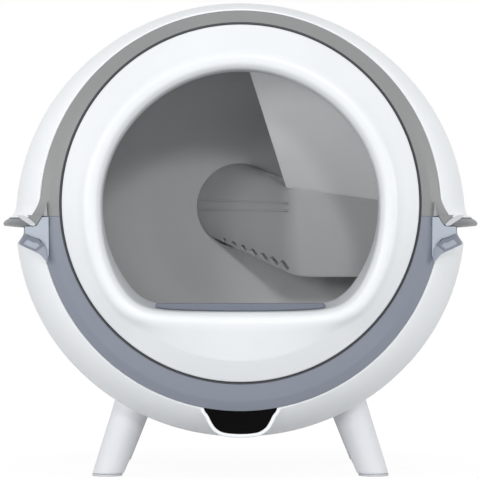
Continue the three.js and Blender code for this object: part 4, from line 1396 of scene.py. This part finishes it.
@dataclass(frozen=True)
class Entry:
    """Round white lip of the drum with a flat-bottomed opening, its liner and the litter sill."""

    axis: float = DRUM_AXIS
    half_width: float = 157.2
    top: float = 150.8
    bottom: float = 122.7
    fullness: tuple[float, float] = (1.95, 2.3)
    corner_power: float = 16.0
    outer: float = 202.3
    back: float = -221.7
    rim: float = -226.0
    crest: float = -249.9
    crest_width: float = 17.0
    crest_under: float = -246.6
    lip: Corners = ((6.0, -248.5, 3.0), (0.0, -241.0, 5.0))
    lip_wall: float = 3.0
    shoulder: float = 178.0
    shoulder_width: float = 23.0
    shoulder_power: float = 40.0
    shoulder_y: float = -241.5
    shoulder_lean: float = 1.6
    shoulder_rounding: tuple[float, float] = (7.0, 5.8)
    liner_front: float = -225.6
    liner_length: float = 34.0
    liner_wall: float = 2.4
    liner_narrowing: float = 7.0
    sill_top: float = 112.9
    sill_half_width: float = 97.0
    sill_taper: float = 2.0
    sill_setback: float = 3.0
    sill_thickness: float = 4.0
    sill_gap: float = 0.3
    sides: int = 288

    def build(self) -> list[Item]:
        """Builds the ring, the liner and the sill."""
        return [self._ring(), self._liner(), self._sill()]

    def radius(self, turn: float) -> float:
        """Radius of the opening.

        Args:
            turn: direction from the axis.

        Returns:
            The radius in that direction.
        """
        rise = math.sin(turn)
        power = self.fullness[0] if rise > 0 else self.fullness[1]
        height = self.top if rise > 0 else self.half_width
        across = (abs(math.cos(turn)) / self.half_width) ** power
        plain = (across + (abs(rise) / height) ** power) ** (-1 / power)
        if rise >= 0:
            return plain
        flat = self.bottom / -rise
        sharp = -self.corner_power
        return (plain ** sharp + flat ** sharp) ** (1 / sharp)

    def narrowing(self, turn: float) -> float:
        """How much the liner narrows towards its rear, most in the lower corners."""
        lower = max(0.0, -math.sin(turn))
        return self.liner_narrowing * (abs(math.cos(turn)) * lower * 2) ** 2

    def _loops(self, profile: Callable[[float, float], Loop]) -> list[Loop]:
        """Profiles of radius and y in each direction from the axis."""
        turns = directions(self.sides)
        return [spun(profile(self.radius(turn), turn), turn, self.axis) for turn in turns]

    def _ring_profile(self, inner: float, turn: float) -> Loop:
        """Profile of the entry ring.

        Args:
            inner: radius of the opening.
            turn: direction from the axis.

        Returns:
            Points of radius and y.
        """
        power = self.shoulder_power
        width = (inner + self.shoulder_width) / self.shoulder
        shoulder = self.shoulder * (1 + width ** power) ** (1 / power)
        lower = max(0.0, -math.sin(turn))
        upper_rounding, lower_loss = self.shoulder_rounding
        return filleted([
            (self.outer, self.back, 0.3), (self.outer, self.rim, 2.2),
            (shoulder, self.shoulder_y + self.shoulder_lean * lower,
             upper_rounding - lower_loss * lower),
            (inner + self.crest_width, self.crest, 8),
            *[(inner + out, y, rounding) for out, y, rounding in self.lip],
            (inner, self.rim, 0.5), (inner + self.lip_wall, self.rim, 0.5),
            (inner + self.crest_width, self.crest_under, 6),
            (self.outer - self.lip_wall, self.back, 0.3),
        ], steps=6)

    def _liner_profile(self, inner: float, turn: float) -> Loop:
        """Profile of the liner.

        Args:
            inner: radius of the opening.
            turn: direction from the axis.

        Returns:
            Points of radius and y.
        """
        front, rear = self.liner_front, self.liner_front + self.liner_length
        back = inner - self.narrowing(turn)
        return filleted([(inner, front, 0.4), (inner + self.lip_wall, front, 0.4),
                         (back + self.liner_wall, rear, 0.9), (back, rear, 0.9)], steps=3)

    def _ring(self) -> Item:
        """White entry ring."""
        mesh = solid(self._loops(self._ring_profile), closed=True)
        return publish(mesh, "entry_ring", RING_WHITE, Body.DRUM, ["drum_front_ring"])

    def _liner(self) -> Item:
        """Light grey liner behind the lip."""
        mesh = solid(self._loops(self._liner_profile), closed=True)
        return publish(mesh, "entry_liner", LINER, Body.DRUM, ["entry_sleeve"])

    def _sill(self) -> Item:
        """Strip across the bottom of the opening.

        Returns:
            The finished piece.
        """
        front = self.rim + self.sill_setback
        share = (self.sill_setback + self.sill_thickness) / self.liner_length
        arc = []
        steps = self.sides * 2
        for i in range(steps):
            turn = math.pi + math.pi * i / steps
            space = self.radius(turn) - self.narrowing(turn) * share - self.sill_gap
            x, z = space * math.cos(turn), space * math.sin(turn)
            if z < -self.sill_top and abs(x) < self.sill_half_width:
                arc.append(Vector((x, self.axis + z)))
        end, edge = self.sill_half_width - self.sill_taper, self.axis - self.sill_top
        outline = [*arc[::3], Vector((end, edge)), Vector((-end, edge))]
        mesh = plate(outline, front, front + self.sill_thickness)
        return publish(mesh, "entry_sill", SILL_BLUE, Body.DRUM, ["litter_sill"], bevel=1.2)


@dataclass(frozen=True)
class Drum:
    """Grey drum in two halves with the round port in its back.

    Its profiles have corners of radius, y and rounding; those of the halves are their outer side.
    """

    axis: float = DRUM_AXIS
    wall: float = 3.0
    longest_edge: float = 14.0
    port_sides: int = 128
    front: Corners = (
        (199, -221.4, 0), (206, -190, 6), (206, -155, 8), (212.5, -95, 20), (212.5, -10.15, 0))
    rear: Corners = (
        (212.5, -9.85, 0), (209, 29, 6), (209, 57, 3), (199, 70, 1), (190, 70, 0.8), (190, 86.6, 6),
        (181.45, 92.9, 8), (161.5, 107.95, 12), (127.3, 118, 10), (54, 118, 0))
    port: Corners = (
        (51, 113.2, 1.2), (53.6, 113.2, 1.4), (55.4, 118, 1.4), (57, 118.4, 0), (63, 118.4, 0.6),
        (63, 121.3, 0.8), (55.5, 121.3, 1), (55.5, 158.3, 0.8), (51, 158.3, 0.8))

    def build(self) -> list[Item]:
        """Builds both shells and the port.

        Returns:
            The finished pieces.
        """
        port = turned(filleted(self.port), self.axis, self.port_sides)
        return [
            publish(self._shell(self.front), "drum_front", DRUM_GREY, Body.DRUM,
                    ["drum_front_shell"]),
            publish(self._shell(self.rear), "drum_rear", DRUM_GREY, Body.DRUM,
                    ["drum_rear_shell"]),
            publish(port, "waste_port", DRUM_GREY, Body.DRUM, ["port_collar"]),
        ]

    def _shell(self, line: Corners) -> Mesh:
        """Shell of revolution with its outer side along a line."""
        outer = dense(filleted(line, closed=False), self.longest_edge)
        return turned([*outer, *reversed(sideways(outer, self.wall))], self.axis)


@dataclass(frozen=True)
class Chute:
    """Scoop with its wing, ribs and sieve slots, and the guide panel above it.

    The panel's top has x, height over the axis and depth. Each rib has its heights over the axis
    at the port and at the knee, and its section has corners of depth and height.
    """

    axis: float = DRUM_AXIS
    drum_inside: tuple[tuple[float, float], ...] = (
        (-221.4, 199), (-190, 206), (-155, 206), (-95, 212.5), (-10, 212.5), (29, 209), (57, 209),
        (70, 190), (86.6, 190), (118, 127))
    clearance: float = 3.6
    plate_y: float = 5.0
    thickness: float = 3.5
    edge: float = 0.7
    knee: tuple[float, float] = (56.0, 21.0)
    toe: tuple[float, float] = (67.2, -85.7)
    wall_rise: float = -3.0
    far: float = 240.0
    port_radius: float = 53.4
    port_y: float = 112.0
    port_start: float = 221.0
    port_end: float = 78.0
    fold: float = 20.0
    rows: int = 36
    wing_steps: int = 44
    fold_steps: int = 8
    plate_steps: int = 22
    slots: int = 7
    slot_widths: tuple[float, float] = (4.2, 6.4)
    slot_lengths: tuple[float, float] = (7.0, 15.0)
    slot_margins: tuple[float, float] = (4.2, 7.4)
    slot_span: tuple[float, float] = (0.21, 0.885)
    slot_tilt: float = -38.0
    slot_end_steps: int = 6
    slot_reach: float = 30.0
    ribs: tuple[tuple[float, float], ...] = ((8.6, 2.8), (-3.6, -6.3))
    rib_section: tuple[tuple[float, float], ...] = (
        (1.5, -1.4), (-1.82, -0.84), (-1.82, 0.84), (1.5, 1.4))
    rib_margin: float = 0.02
    rib_steps: int = 30
    rib_halvings: int = 24
    ear: tuple[float, float, float] = (-5.0, -11.0, 8.5)
    ear_turn: float = 12.0
    ear_span: int = 48
    ear_rows: int = 6
    panel_top: tuple[float, float, float] = (-6.0, 207.0, -145.0)
    panel_columns: int = 40
    panel_share: float = 0.995
    panel_gap: float = 1.0
    panel_lift: float = 0.4
    bulge: float = 12.0

    def build(self) -> list[Item]:
        """Builds the scoop and the guide panel."""
        return [self._scoop(), self._panel()]

    def wall_radius(self, y: float) -> float:
        """Radius of the drum's inner side, less a clearance.

        Args:
            y: depth.

        Returns:
            The radius.
        """
        line = self.drum_inside
        i = min(max(bisect.bisect([station for station, _ in line], y), 1), len(line) - 1)
        (low_y, low), (high_y, high) = line[i - 1], line[i]
        return low + (high - low) * (y - low_y) / (high_y - low_y) - self.clearance

    def knee_height(self, x: float) -> float:
        """Height of the line between the scoop and the panel."""
        share = (x - self.knee[0]) / (self.far - self.knee[0])
        return self.knee[1] + (self.wall_rise - self.knee[1]) * share

    def corner_points(self, rise: float) -> tuple[Vector, Vector, Vector]:
        """Front face of the scoop at one height.

        Args:
            rise: share of the scoop's height.

        Returns:
            Its points at the port, at the knee and at the drum wall.
        """
        (knee_x, knee_z), (toe_x, toe_z) = self.knee, self.toe
        turn = math.radians(self.port_start + (self.port_end - self.port_start) * rise)
        across, up = self.port_radius * math.cos(turn), self.port_radius * math.sin(turn)
        port = Vector((across, self.port_y, up))
        knee = Vector((toe_x + (knee_x - toe_x) * rise, self.plate_y,
                       toe_z + (knee_z - toe_z) * rise))
        radius = self.wall_radius(self.plate_y)
        end = toe_z + (self.knee_height(radius) - toe_z) * rise
        return port, knee, Vector((math.sqrt(radius ** 2 - end ** 2), self.plate_y, end))

    def _on_wing(self, rise: float, along: float) -> Vector:
        """Point of the wing at a share of its height and of the way from the port to the knee."""
        port, knee, _ = self.corner_points(rise)
        return port.lerp(knee, along)

    def _line(self, rise: float) -> Loop:
        """Horizontal line over the scoop with a soft fold at the knee.

        Args:
            rise: share of the scoop's height.

        Returns:
            The points from the port to the drum wall.
        """
        port, knee, wall = self.corner_points(rise)
        start = knee + (port - knee).normalized() * self.fold
        end = knee + (wall - knee).normalized() * self.fold
        wing = [port.lerp(start, i / self.wing_steps) for i in range(self.wing_steps)]
        flat = [end.lerp(wall, (i + 1) / self.plate_steps) for i in range(self.plate_steps)]
        return wing + bend(start, knee, end, self.fold_steps) + flat

    def _scoop(self) -> Item:
        """Wing, plate, slots and two thin ribs.

        Returns:
            The finished piece.
        """
        shift = Vector((0, 0, self.axis))
        shares = [i / self.rows for i in range(self.rows + 1)]
        rows = [[point + shift for point in self._line(share)] for share in shares]
        mesh = skin(rows, around=False, caps=False)
        self._add_ear(mesh, len(rows[0]))
        face_front(mesh)
        for i in range(self.slots):
            share = i / (self.slots - 1)
            rise = self._between(self.slot_margins, share) / (self.knee[1] - self.toe[1])
            at = self._on_wing(rise, self._between(self.slot_span, share))
            opened(mesh, walls_of(self._slot(at, share), 0),
                   lambda middle: (middle - at - shift).length < self.slot_reach)
        thickened(mesh, self.thickness, self.edge, steps=2)
        whole = joined(mesh, *[self._rib(at_port, at_knee) for at_port, at_knee in self.ribs])
        return publish(whole, "scoop_chute", LIGHT_GREY, Body.DRUM, ["scoop"])

    def _add_ear(self, mesh: Mesh, width: int) -> None:
        """Raises the top edge of the wing beside the guide panel.

        Args:
            mesh: open surface of the scoop, whose last row is its top edge.
            width: points in a row.
        """
        mesh.verts.ensure_lookup_table()
        below = [mesh.verts[j - width] for j in range(self.ear_span + 1)]
        start = [vert.co.copy() for vert in below]
        turn = math.radians(self.port_end)
        for k in range(self.ear_rows):
            grow = (k + 1) / self.ear_rows
            swung = math.radians(self.port_end - self.ear_turn * grow)
            across, up = math.cos(swung) - math.cos(turn), math.sin(swung) - math.sin(turn)
            slide = Vector((across, 0, up)) * self.port_radius
            row = []
            for j, point in enumerate(start):
                share = j / self.ear_span
                moved = point + slide * (1 - share) + Vector(self.ear) * (grow * share)
                row.append(mesh.verts.new(moved))
            for j in range(self.ear_span):
                mesh.faces.new((below[j], below[j + 1], row[j + 1], row[j]))
            below = row

    def _rise_at(self, along: float, height: float) -> float:
        """Share of the wing's height where it passes a height over the axis."""
        return last_true(lambda rise: self._on_wing(rise, along).z < height, 0, 1,
                         self.rib_halvings)

    def _rib(self, at_port: float, at_knee: float) -> Mesh:
        """Thin raised rib along the wing.

        Args:
            at_port: height over the axis at the port.
            at_knee: height over the axis at the knee.

        Returns:
            The closed rib.
        """
        loops = []
        for i in range(self.rib_steps + 1):
            along = self.rib_margin + (1 - 2 * self.rib_margin) * i / self.rib_steps
            rise = self._rise_at(along, at_port + (at_knee - at_port) * along)
            at = self._on_wing(rise, along) + Vector((0, 0, self.axis))
            loops.append([at + Vector((0, dy, dz)) for dy, dz in self.rib_section])
        return solid(loops)

    def _between(self, ends: tuple[float, float], share: float) -> float:
        """Value at a share of the way between two ends."""
        return ends[0] + (ends[1] - ends[0]) * share

    def _slot(self, at: Vector, share: float) -> Loop:
        """Outline of one slanted slot with round ends.

        Args:
            at: middle of the slot, over the axis.
            share: place in the row from the port to the knee, towards which the slots grow.

        Returns:
            The points of x and z.
        """
        half = self._between(self.slot_widths, share) / 2
        length = self._between(self.slot_lengths, share) / 2
        tilt = math.radians(self.slot_tilt)
        outline = []
        for side, start in ((1, 0), (-1, 180)):
            for step in range(self.slot_end_steps + 1):
                turn = math.radians(start + 180 * step / self.slot_end_steps)
                x, z = half * math.cos(turn), side * (length - half) + half * math.sin(turn)
                outline.append(Vector((at.x + x * math.cos(tilt) + z * math.sin(tilt),
                                       self.axis + at.z - x * math.sin(tilt) + z * math.cos(tilt))))
        return outline

    def _panel_point(self, ends: tuple[float, float], rise: float) -> Vector:
        """Point of the guide panel.

        Args:
            ends: x at the lower and at the upper end of a column.
            rise: share of the way up the column.

        Returns:
            The point, over the axis.
        """
        (low_x, high_x), (_, high_z, high_y) = ends, self.panel_top
        low_z = self.knee_height(low_x) + self.panel_lift
        bulge = self.bulge * math.sin(math.pi * rise)
        return Vector((low_x + (high_x - low_x) * rise,
                       self.plate_y + (high_y - self.plate_y) * rise - bulge,
                       low_z + (high_z - low_z) * rise))

    def _in_drum(self, point: Vector) -> bool:
        """Tells whether a point over the axis is clear of the drum's inner side."""
        return math.hypot(point.x, point.z) < self.wall_radius(point.y)

    def _panel_column(self, share: float) -> Loop:
        """Line up the guide panel, from the knee line to the drum wall.

        Args:
            share: share of the panel's width.

        Returns:
            The points.
        """
        end = self.wall_radius(self.plate_y) - self.panel_gap
        ends = (self._between((self.knee[0], end), share),
                self._between((self.panel_top[0], self.far), share))
        top = last_true(lambda rise: self._in_drum(self._panel_point(ends, rise)), 0, 1)
        shift = Vector((0, 0, self.axis))
        return [self._panel_point(ends, top * j / self.rows) + shift for j in range(self.rows + 1)]

    def _panel(self) -> Item:
        """Guide panel from the knee line up and forward to the drum wall.

        Returns:
            The finished piece.
        """
        shares = [self.panel_share * i / self.panel_columns for i in range(self.panel_columns + 1)]
        mesh = skin([self._panel_column(share) for share in shares], around=False, caps=False)
        face_front(mesh)
        thickened(mesh, self.thickness, self.edge, steps=2)
        # The panel takes a lighter copy of the scoop's plastic: painted light.
        return publish(mesh, "guide_panel", PANEL_PAINTED_LIGHT, Body.DRUM, ["baffle"])


# ---------------------------------------------------------------- small assemblies


@dataclass(frozen=True)
class Display:
    """Glossy black panel in the pod."""

    pod: PodOutline = field(default_factory=PodOutline)
    front: float = -212.4
    rear: float = -209.4
    top: float = 85.8
    gap: float = 0.35

    def build(self) -> list[Item]:
        """Builds the panel.

        Returns:
            The finished piece.
        """
        outline = [Vector((p.x, min(p.y, self.top))) for p in self.pod.points(-self.gap, steps=6)]
        mesh = plate(outline, self.front, self.rear)
        return [publish(mesh, "display_glass", BLACK, Body.BASE, ["display_panel"], bevel=0.5)]


@dataclass(frozen=True)
class Drawer:
    """Waste tub and the cup pull on its face."""

    outline: DrawerOutline = field(default_factory=DrawerOutline)
    casing: Casing = field(default_factory=Casing)
    tub_inset: float = 3.0
    tub_rises: tuple[float, ...] = (0, 0.7, 2.5, 6, 11, 18, 27, 38, 45, 60, 80, 100)
    front: float = 141.0
    rim: float = 235.2
    wall: float = 2.5
    front_rounding: float = 4.0
    rear_rounding: float = 3.0
    rear_gap: float = 4.6
    rear_steps: int = 16
    least_rise: float = 0.01
    pull_half: float = 50.0
    pull_low: float = 209.7
    pull_high: float = 235.7
    pull_corner: float = 12.0
    pull_front: float = 233.8
    pull_rear: float = 249.9
    pull_wall: float = 3.0

    def build(self) -> list[Item]:
        """Builds the tub and the pull."""
        return [self._tub(), self._pull()]

    def _level(self, height: float, inset: float) -> Loop:
        """Plan of the tub at one height.

        Args:
            height: the height.
            inset: distance that the plan is drawn in.

        Returns:
            The points.
        """
        rise = height - self.outline.bottom - self.tub_inset - inset
        width = self.outline.half_width - self.tub_inset - inset
        corner = self.outline.low_corner - self.tub_inset - inset
        if rise < corner:
            width -= corner - math.sqrt(max(0.0, corner ** 2 - (corner - rise) ** 2))
        front, last, rounding = self.front + inset, self.rear_steps, self.front_rounding
        back = []
        for i in range(last + 1):
            x = width * (1 - 2 * i / last)
            y = self.casing.rear_at(x, height, self.rear_gap + inset)
            back.append((x, y, self.rear_rounding if i in (0, last) else 0))
        plan = filleted([(-width, front, rounding), (width, front, rounding), *back])
        return [Vector((x, y, height)) for x, y in plan]

    def _tub(self) -> Item:
        """Open tub with rounded lower sides.

        Returns:
            The finished piece.
        """
        bottom = self.outline.bottom + self.tub_inset
        floor = bottom + self.wall + self.least_rise
        rises = [*self.tub_rises, self.rim - bottom]
        loops = [self._level(bottom + rise, 0) for rise in rises]
        loops += [self._level(max(bottom + rise, floor), self.wall) for rise in reversed(rises[1:])]
        return publish(solid(loops), "waste_tub", LINER, Body.BIN, ["waste_bin"], bevel=0.6)

    def _hood(self, inset: float) -> Loop:
        """Outline of the pull, open below.

        Args:
            inset: distance that the outline is drawn in.

        Returns:
            The points of x and z.
        """
        half, low, high = self.pull_half - inset, self.pull_low, self.pull_high - inset
        corner = self.pull_corner - inset
        return filleted([(half, low, 0), (half, high, corner), (-half, high, corner),
                         (-half, low, 0)], steps=8, closed=False)

    def _pull(self) -> Item:
        """Hood open below.

        Returns:
            The finished piece.
        """
        outer, inner = self._hood(0), self._hood(self.pull_wall)
        front, rear = self.pull_front, self.pull_rear
        mesh = bmesh.new()
        floor = rear - self.pull_wall
        verts = [[mesh.verts.new((p.x, y, p.y)) for p in line]
                 for line, y in ((inner, front), (inner, floor), (outer, rear), (outer, front))]
        for a, b in ((0, 1), (2, 3), (3, 0)):
            for i in range(len(outer) - 1):
                mesh.faces.new((verts[a][i], verts[a][i + 1], verts[b][i + 1], verts[b][i]))
        for corners in (verts[1], verts[2], [row[0] for row in verts], [row[-1] for row in verts]):
            mesh.faces.new(corners)
        bmesh.ops.holes_fill(mesh, edges=[edge for edge in mesh.edges if edge.is_boundary])
        bmesh.ops.recalc_face_normals(mesh, faces=mesh.faces)
        return publish(mesh, "drawer_pull", TRIM_BLUE, Body.BIN, ["bin_handle"], bevel=0.8)


@dataclass(frozen=True)
class Legs:
    """Four splayed, tapered legs on pale pads.

    The rounding of a leg's end has heights over the pad and distances inside the leg's side. The
    section of a pad has corners of radius, height and rounding.
    """

    casing: Casing = field(default_factory=Casing)
    foot: tuple[float, float] = (156.0, 104.0)
    foot_radius: float = 18.3
    top_radius: float = 25.8
    length: float = 140.0
    splay: float = 19.5
    rake: float = 9.0
    start: float = 2.9
    end_rounding: tuple[tuple[float, float], ...] = ((0.0, 1.2), (0.4, 0.3))
    end_height: float = 1.4
    reach: tuple[float, float] = (10.0, 160.0)
    sink: float = 0.008
    steps: int = 16
    sides: int = 64
    pad: Corners = ((4, 0, 0.2), (17.7, 0, 0.8), (17.7, 2.6, 0.8), (4, 2.6, 0.2))

    def build(self) -> list[Item]:
        """Builds each leg and its pad.

        Returns:
            The finished pieces.
        """
        pad = filleted(self.pad)
        items = []
        for place in PLACES:
            depth, hand = place.split("_")
            side = -1 if hand == "left" else 1
            back = -1 if depth == "front" else 1
            foot = Vector((side * self.foot[0], back * self.foot[1], 0))
            leg = self._leg(foot, side, back)
            # The legs take a darker copy of the casing white: painted shade.
            items.append(publish(leg, f"leg_body_{place}", LEG_PAINTED_SHADE, Body.BASE, [f"leg_{place}"]))
            items.append(publish(upright(pad, foot), f"pad_{place}", PAD_RUBBER, Body.BASE,
                                 [f"foot_pad_{place}"]))
        return items

    def _side_point(self, foot: Vector, lean: Vector, out: Vector, z: float) -> Vector:
        """Point on the side of a leg at a height, in one direction from its middle line."""
        radius = self.foot_radius + (self.top_radius - self.foot_radius) * z / self.length
        return foot + lean * z + out * radius

    def _line(self, foot: Vector, lean: Vector, turn: float) -> Loop:
        """Line up the side of a leg, from its pad into the casing.

        Args:
            foot: middle of the foot on the floor.
            lean: way that the leg's middle line goes for a rise of 1.
            turn: direction from the middle line.

        Returns:
            The points.
        """
        out = Vector((math.cos(turn), math.sin(turn), 0))
        at = partial(self._side_point, foot, lean, out)
        top = last_true(lambda z: self.casing.outside(at(z)) > -self.sink, *self.reach)
        low = self.start + self.end_height
        line = [at(self.start + rise) - out * inset for rise, inset in self.end_rounding]
        return line + [at(low + (top - low) * k / self.steps) for k in range(self.steps + 1)]

    def _leg(self, foot: Vector, side: int, back: int) -> Mesh:
        """One leg, from its pad up to the underside of the casing.

        Args:
            foot: middle of the foot on the floor.
            side: -1 for the left, 1 for the right.
            back: -1 for the front, 1 for the rear.

        Returns:
            The closed leg.
        """
        splay, rake = math.tan(math.radians(self.splay)), math.tan(math.radians(self.rake))
        lean = Vector((-side * splay, -back * rake, 1))
        lines = [self._line(foot, lean, turn) for turn in directions(self.sides)]
        return solid([list(loop) for loop in zip(*lines)])


# ---------------------------------------------------------------- pieces carried over from the CAD


@dataclass(frozen=True)
class Mechanism:
    """Working parts kept from the CAD, with their finishes and soft edges."""

    finishes: tuple[tuple[str, Finish, float], ...] = (
        ("control_board", BOARD, 0.15), ("dc_inlet", DARK_RUBBER, 0.3),
        ("rear_bulkhead", DRUM_GREY, 0.5), ("bin_shelf", DRUM_GREY, 0.5), ("gearbox", NYLON, 0.8),
        ("gear_motor", MOTOR_STEEL, 0.6), ("motor_bracket", ZINC, 0.5),
        ("sieve_grid", LIGHT_GREY, 0.5), ("ring_gear", NYLON, 0.25), ("drive_pinion", NYLON, 0.25),
        ("output_shaft", SHAFT_STEEL, 0.4))
    per_place: tuple[tuple[str, Finish, float], ...] = (
        ("roller_", DARK_RUBBER, 0.6), ("roller_axle_", SHAFT_STEEL, 0.4),
        ("roller_bracket_", ZINC, 0.4))
    bevel_angle: float = 28.0

    def build(self) -> list[Item]:
        """Gives every kept node its material and bevel.

        Returns:
            The dressed nodes.
        """
        rows = list(self.finishes)
        rows += [(stem + place, finish, bevel)
                 for stem, finish, bevel in self.per_place for place in PLACES]
        items = []
        for name, finish, bevel in rows:
            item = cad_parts[name]
            item.data.materials.clear()
            item.data.materials.append(finish.material())
            soften(item, bevel, self.bevel_angle)
            items.append(item)
        return items


# ---------------------------------------------------------------- studio


@dataclass(frozen=True)
class Lamp:
    """One soft area lamp that points at the object."""

    name: str
    place: tuple[float, float, float]
    size: float
    power: float
    target: tuple[float, float, float] = (0.0, 0.0, 0.3)


@dataclass(frozen=True)
class Studio:
    """Camera, lamps, pale floor and white surroundings, in metres."""

    camera_place: tuple[float, float, float] = (-0.0011, -3.55, 0.2767)
    lens: float = 220.9
    sensor: float = 36.0
    farthest: float = 50.0
    fill: float = 0.58
    white: tuple[float, float, float, float] = (1.0, 1.0, 1.0, 1.0)
    floor_size: float = 3.0
    floor_cells: int = 24
    floor_roughness: float = 0.9
    floor_noise: float = 40.0
    floor_tones: tuple[Corner, Corner] = ((0.58, 0.58, 0.59), (0.62, 0.62, 0.62))
    floor_fade: tuple[float, float] = (0.3, 1.0)
    floor_shares: tuple[float, float] = (0.86, 1.0)
    floor_glow: float = 1.08
    lamps: tuple[Lamp, ...] = (
        Lamp("top_lamp", (0.0, -0.9, 2.6), 1.8, 3.0),
        Lamp("front_left_lamp", (-1.35, -3.25, 0.8), 0.6, 18.5),
        Lamp("front_right_lamp", (0.42, -3.4, 1.25), 0.35, 20.0),
        Lamp("left_lamp", (-2.5, -1.7, 0.6), 1.4, 17.0),
        Lamp("right_lamp", (2.5, -1.7, 0.6), 1.4, 18.0),
    )

    def build(self) -> None:
        """Sets up the whole studio."""
        self._camera()
        for lamp in self.lamps:
            self._lamp(lamp)
        self._floor()
        self._world()
        bpy.context.scene.view_settings.view_transform = "Standard"

    def _camera(self) -> None:
        """Level camera in front of the object."""
        data = bpy.data.cameras.new("camera")
        data.lens = self.lens
        data.sensor_width = self.sensor
        data.clip_end = self.farthest
        camera = placed("camera", data)
        camera.location = self.camera_place
        camera.rotation_euler = (math.pi / 2, 0, 0)
        bpy.context.scene.camera = camera

    def _lamp(self, lamp: Lamp) -> None:
        """Adds one lamp.

        Args:
            lamp: its sizes, place and power.
        """
        data = bpy.data.lights.new(lamp.name, "AREA")
        data.shape = "DISK"
        data.size = lamp.size
        data.energy = lamp.power
        item = placed(lamp.name, data)
        item.location = lamp.place
        heading = Vector(lamp.target) - Vector(lamp.place)
        item.rotation_euler = heading.to_track_quat("-Z", "Y").to_euler()

    def _floor(self) -> None:
        """Wide pale floor."""
        mesh = bmesh.new()
        cells = self.floor_cells
        bmesh.ops.create_grid(mesh, x_segments=cells, y_segments=cells, size=self.floor_size)
        data = bpy.data.meshes.new("floor")
        mesh.to_mesh(data)
        mesh.free()
        data.materials.append(self._floor_material())
        floor = placed("floor", data)

    def _floor_material(self) -> bpy.types.Material:
        """White that keeps a faint shadow near the object and lights nothing.

        Returns:
            The material.
        """
        material = bpy.data.materials.new("floor_white")
        material.use_nodes = True
        nodes = Nodes(material.node_tree)
        shader = nodes.tree.nodes["Principled BSDF"]
        noise = nodes.add("ShaderNodeTexNoise", {"Scale": self.floor_noise})
        nodes.feed(shader, {"Roughness": self.floor_roughness,
                            "Base Color": nodes.ramp(noise.outputs["Fac"], self.floor_tones)})
        glow = nodes.add("ShaderNodeEmission", {"Strength": self.floor_glow})
        away = nodes.add("ShaderNodeVectorMath", {0: nodes.place()})
        away.operation = "LENGTH"
        spread = nodes.spread(away.outputs["Value"], self.floor_fade, self.floor_shares)
        share = nodes.combined(Operation.PRODUCT, spread, nodes.seen())
        nodes.mixed(share, shader.outputs["BSDF"], glow.outputs["Emission"], "Material Output")
        return material

    def _world(self) -> None:
        """White for what the camera and reflections see, softer as a light."""
        world = bpy.data.worlds.new("surroundings")
        bpy.context.scene.world = world
        world.use_nodes = True
        nodes = Nodes(world.node_tree)
        soft = nodes.tree.nodes["Background"]
        nodes.feed(soft, {"Color": self.white, "Strength": self.fill})
        plain = nodes.add("ShaderNodeBackground", {"Color": self.white, "Strength": 1.0})
        nodes.mixed(nodes.seen(), soft.outputs["Background"], plain.outputs["Background"],
                    "World Output")


def main() -> None:
    """Builds and dresses every sub-assembly, then the studio."""
    logging.basicConfig(level=logging.INFO, format="%(name)s: %(message)s")
    for part in (CasingParts(), Surround(), SideRails(), Lugs(), Entry(), Drum(), Chute(),
                 Display(), Drawer(), Legs(), Mechanism()):
        for item in part.build():
            log.info("%s: %s", type(part).__name__, item.name)
    Studio().build()


if __name__ == "__main__":
    main()
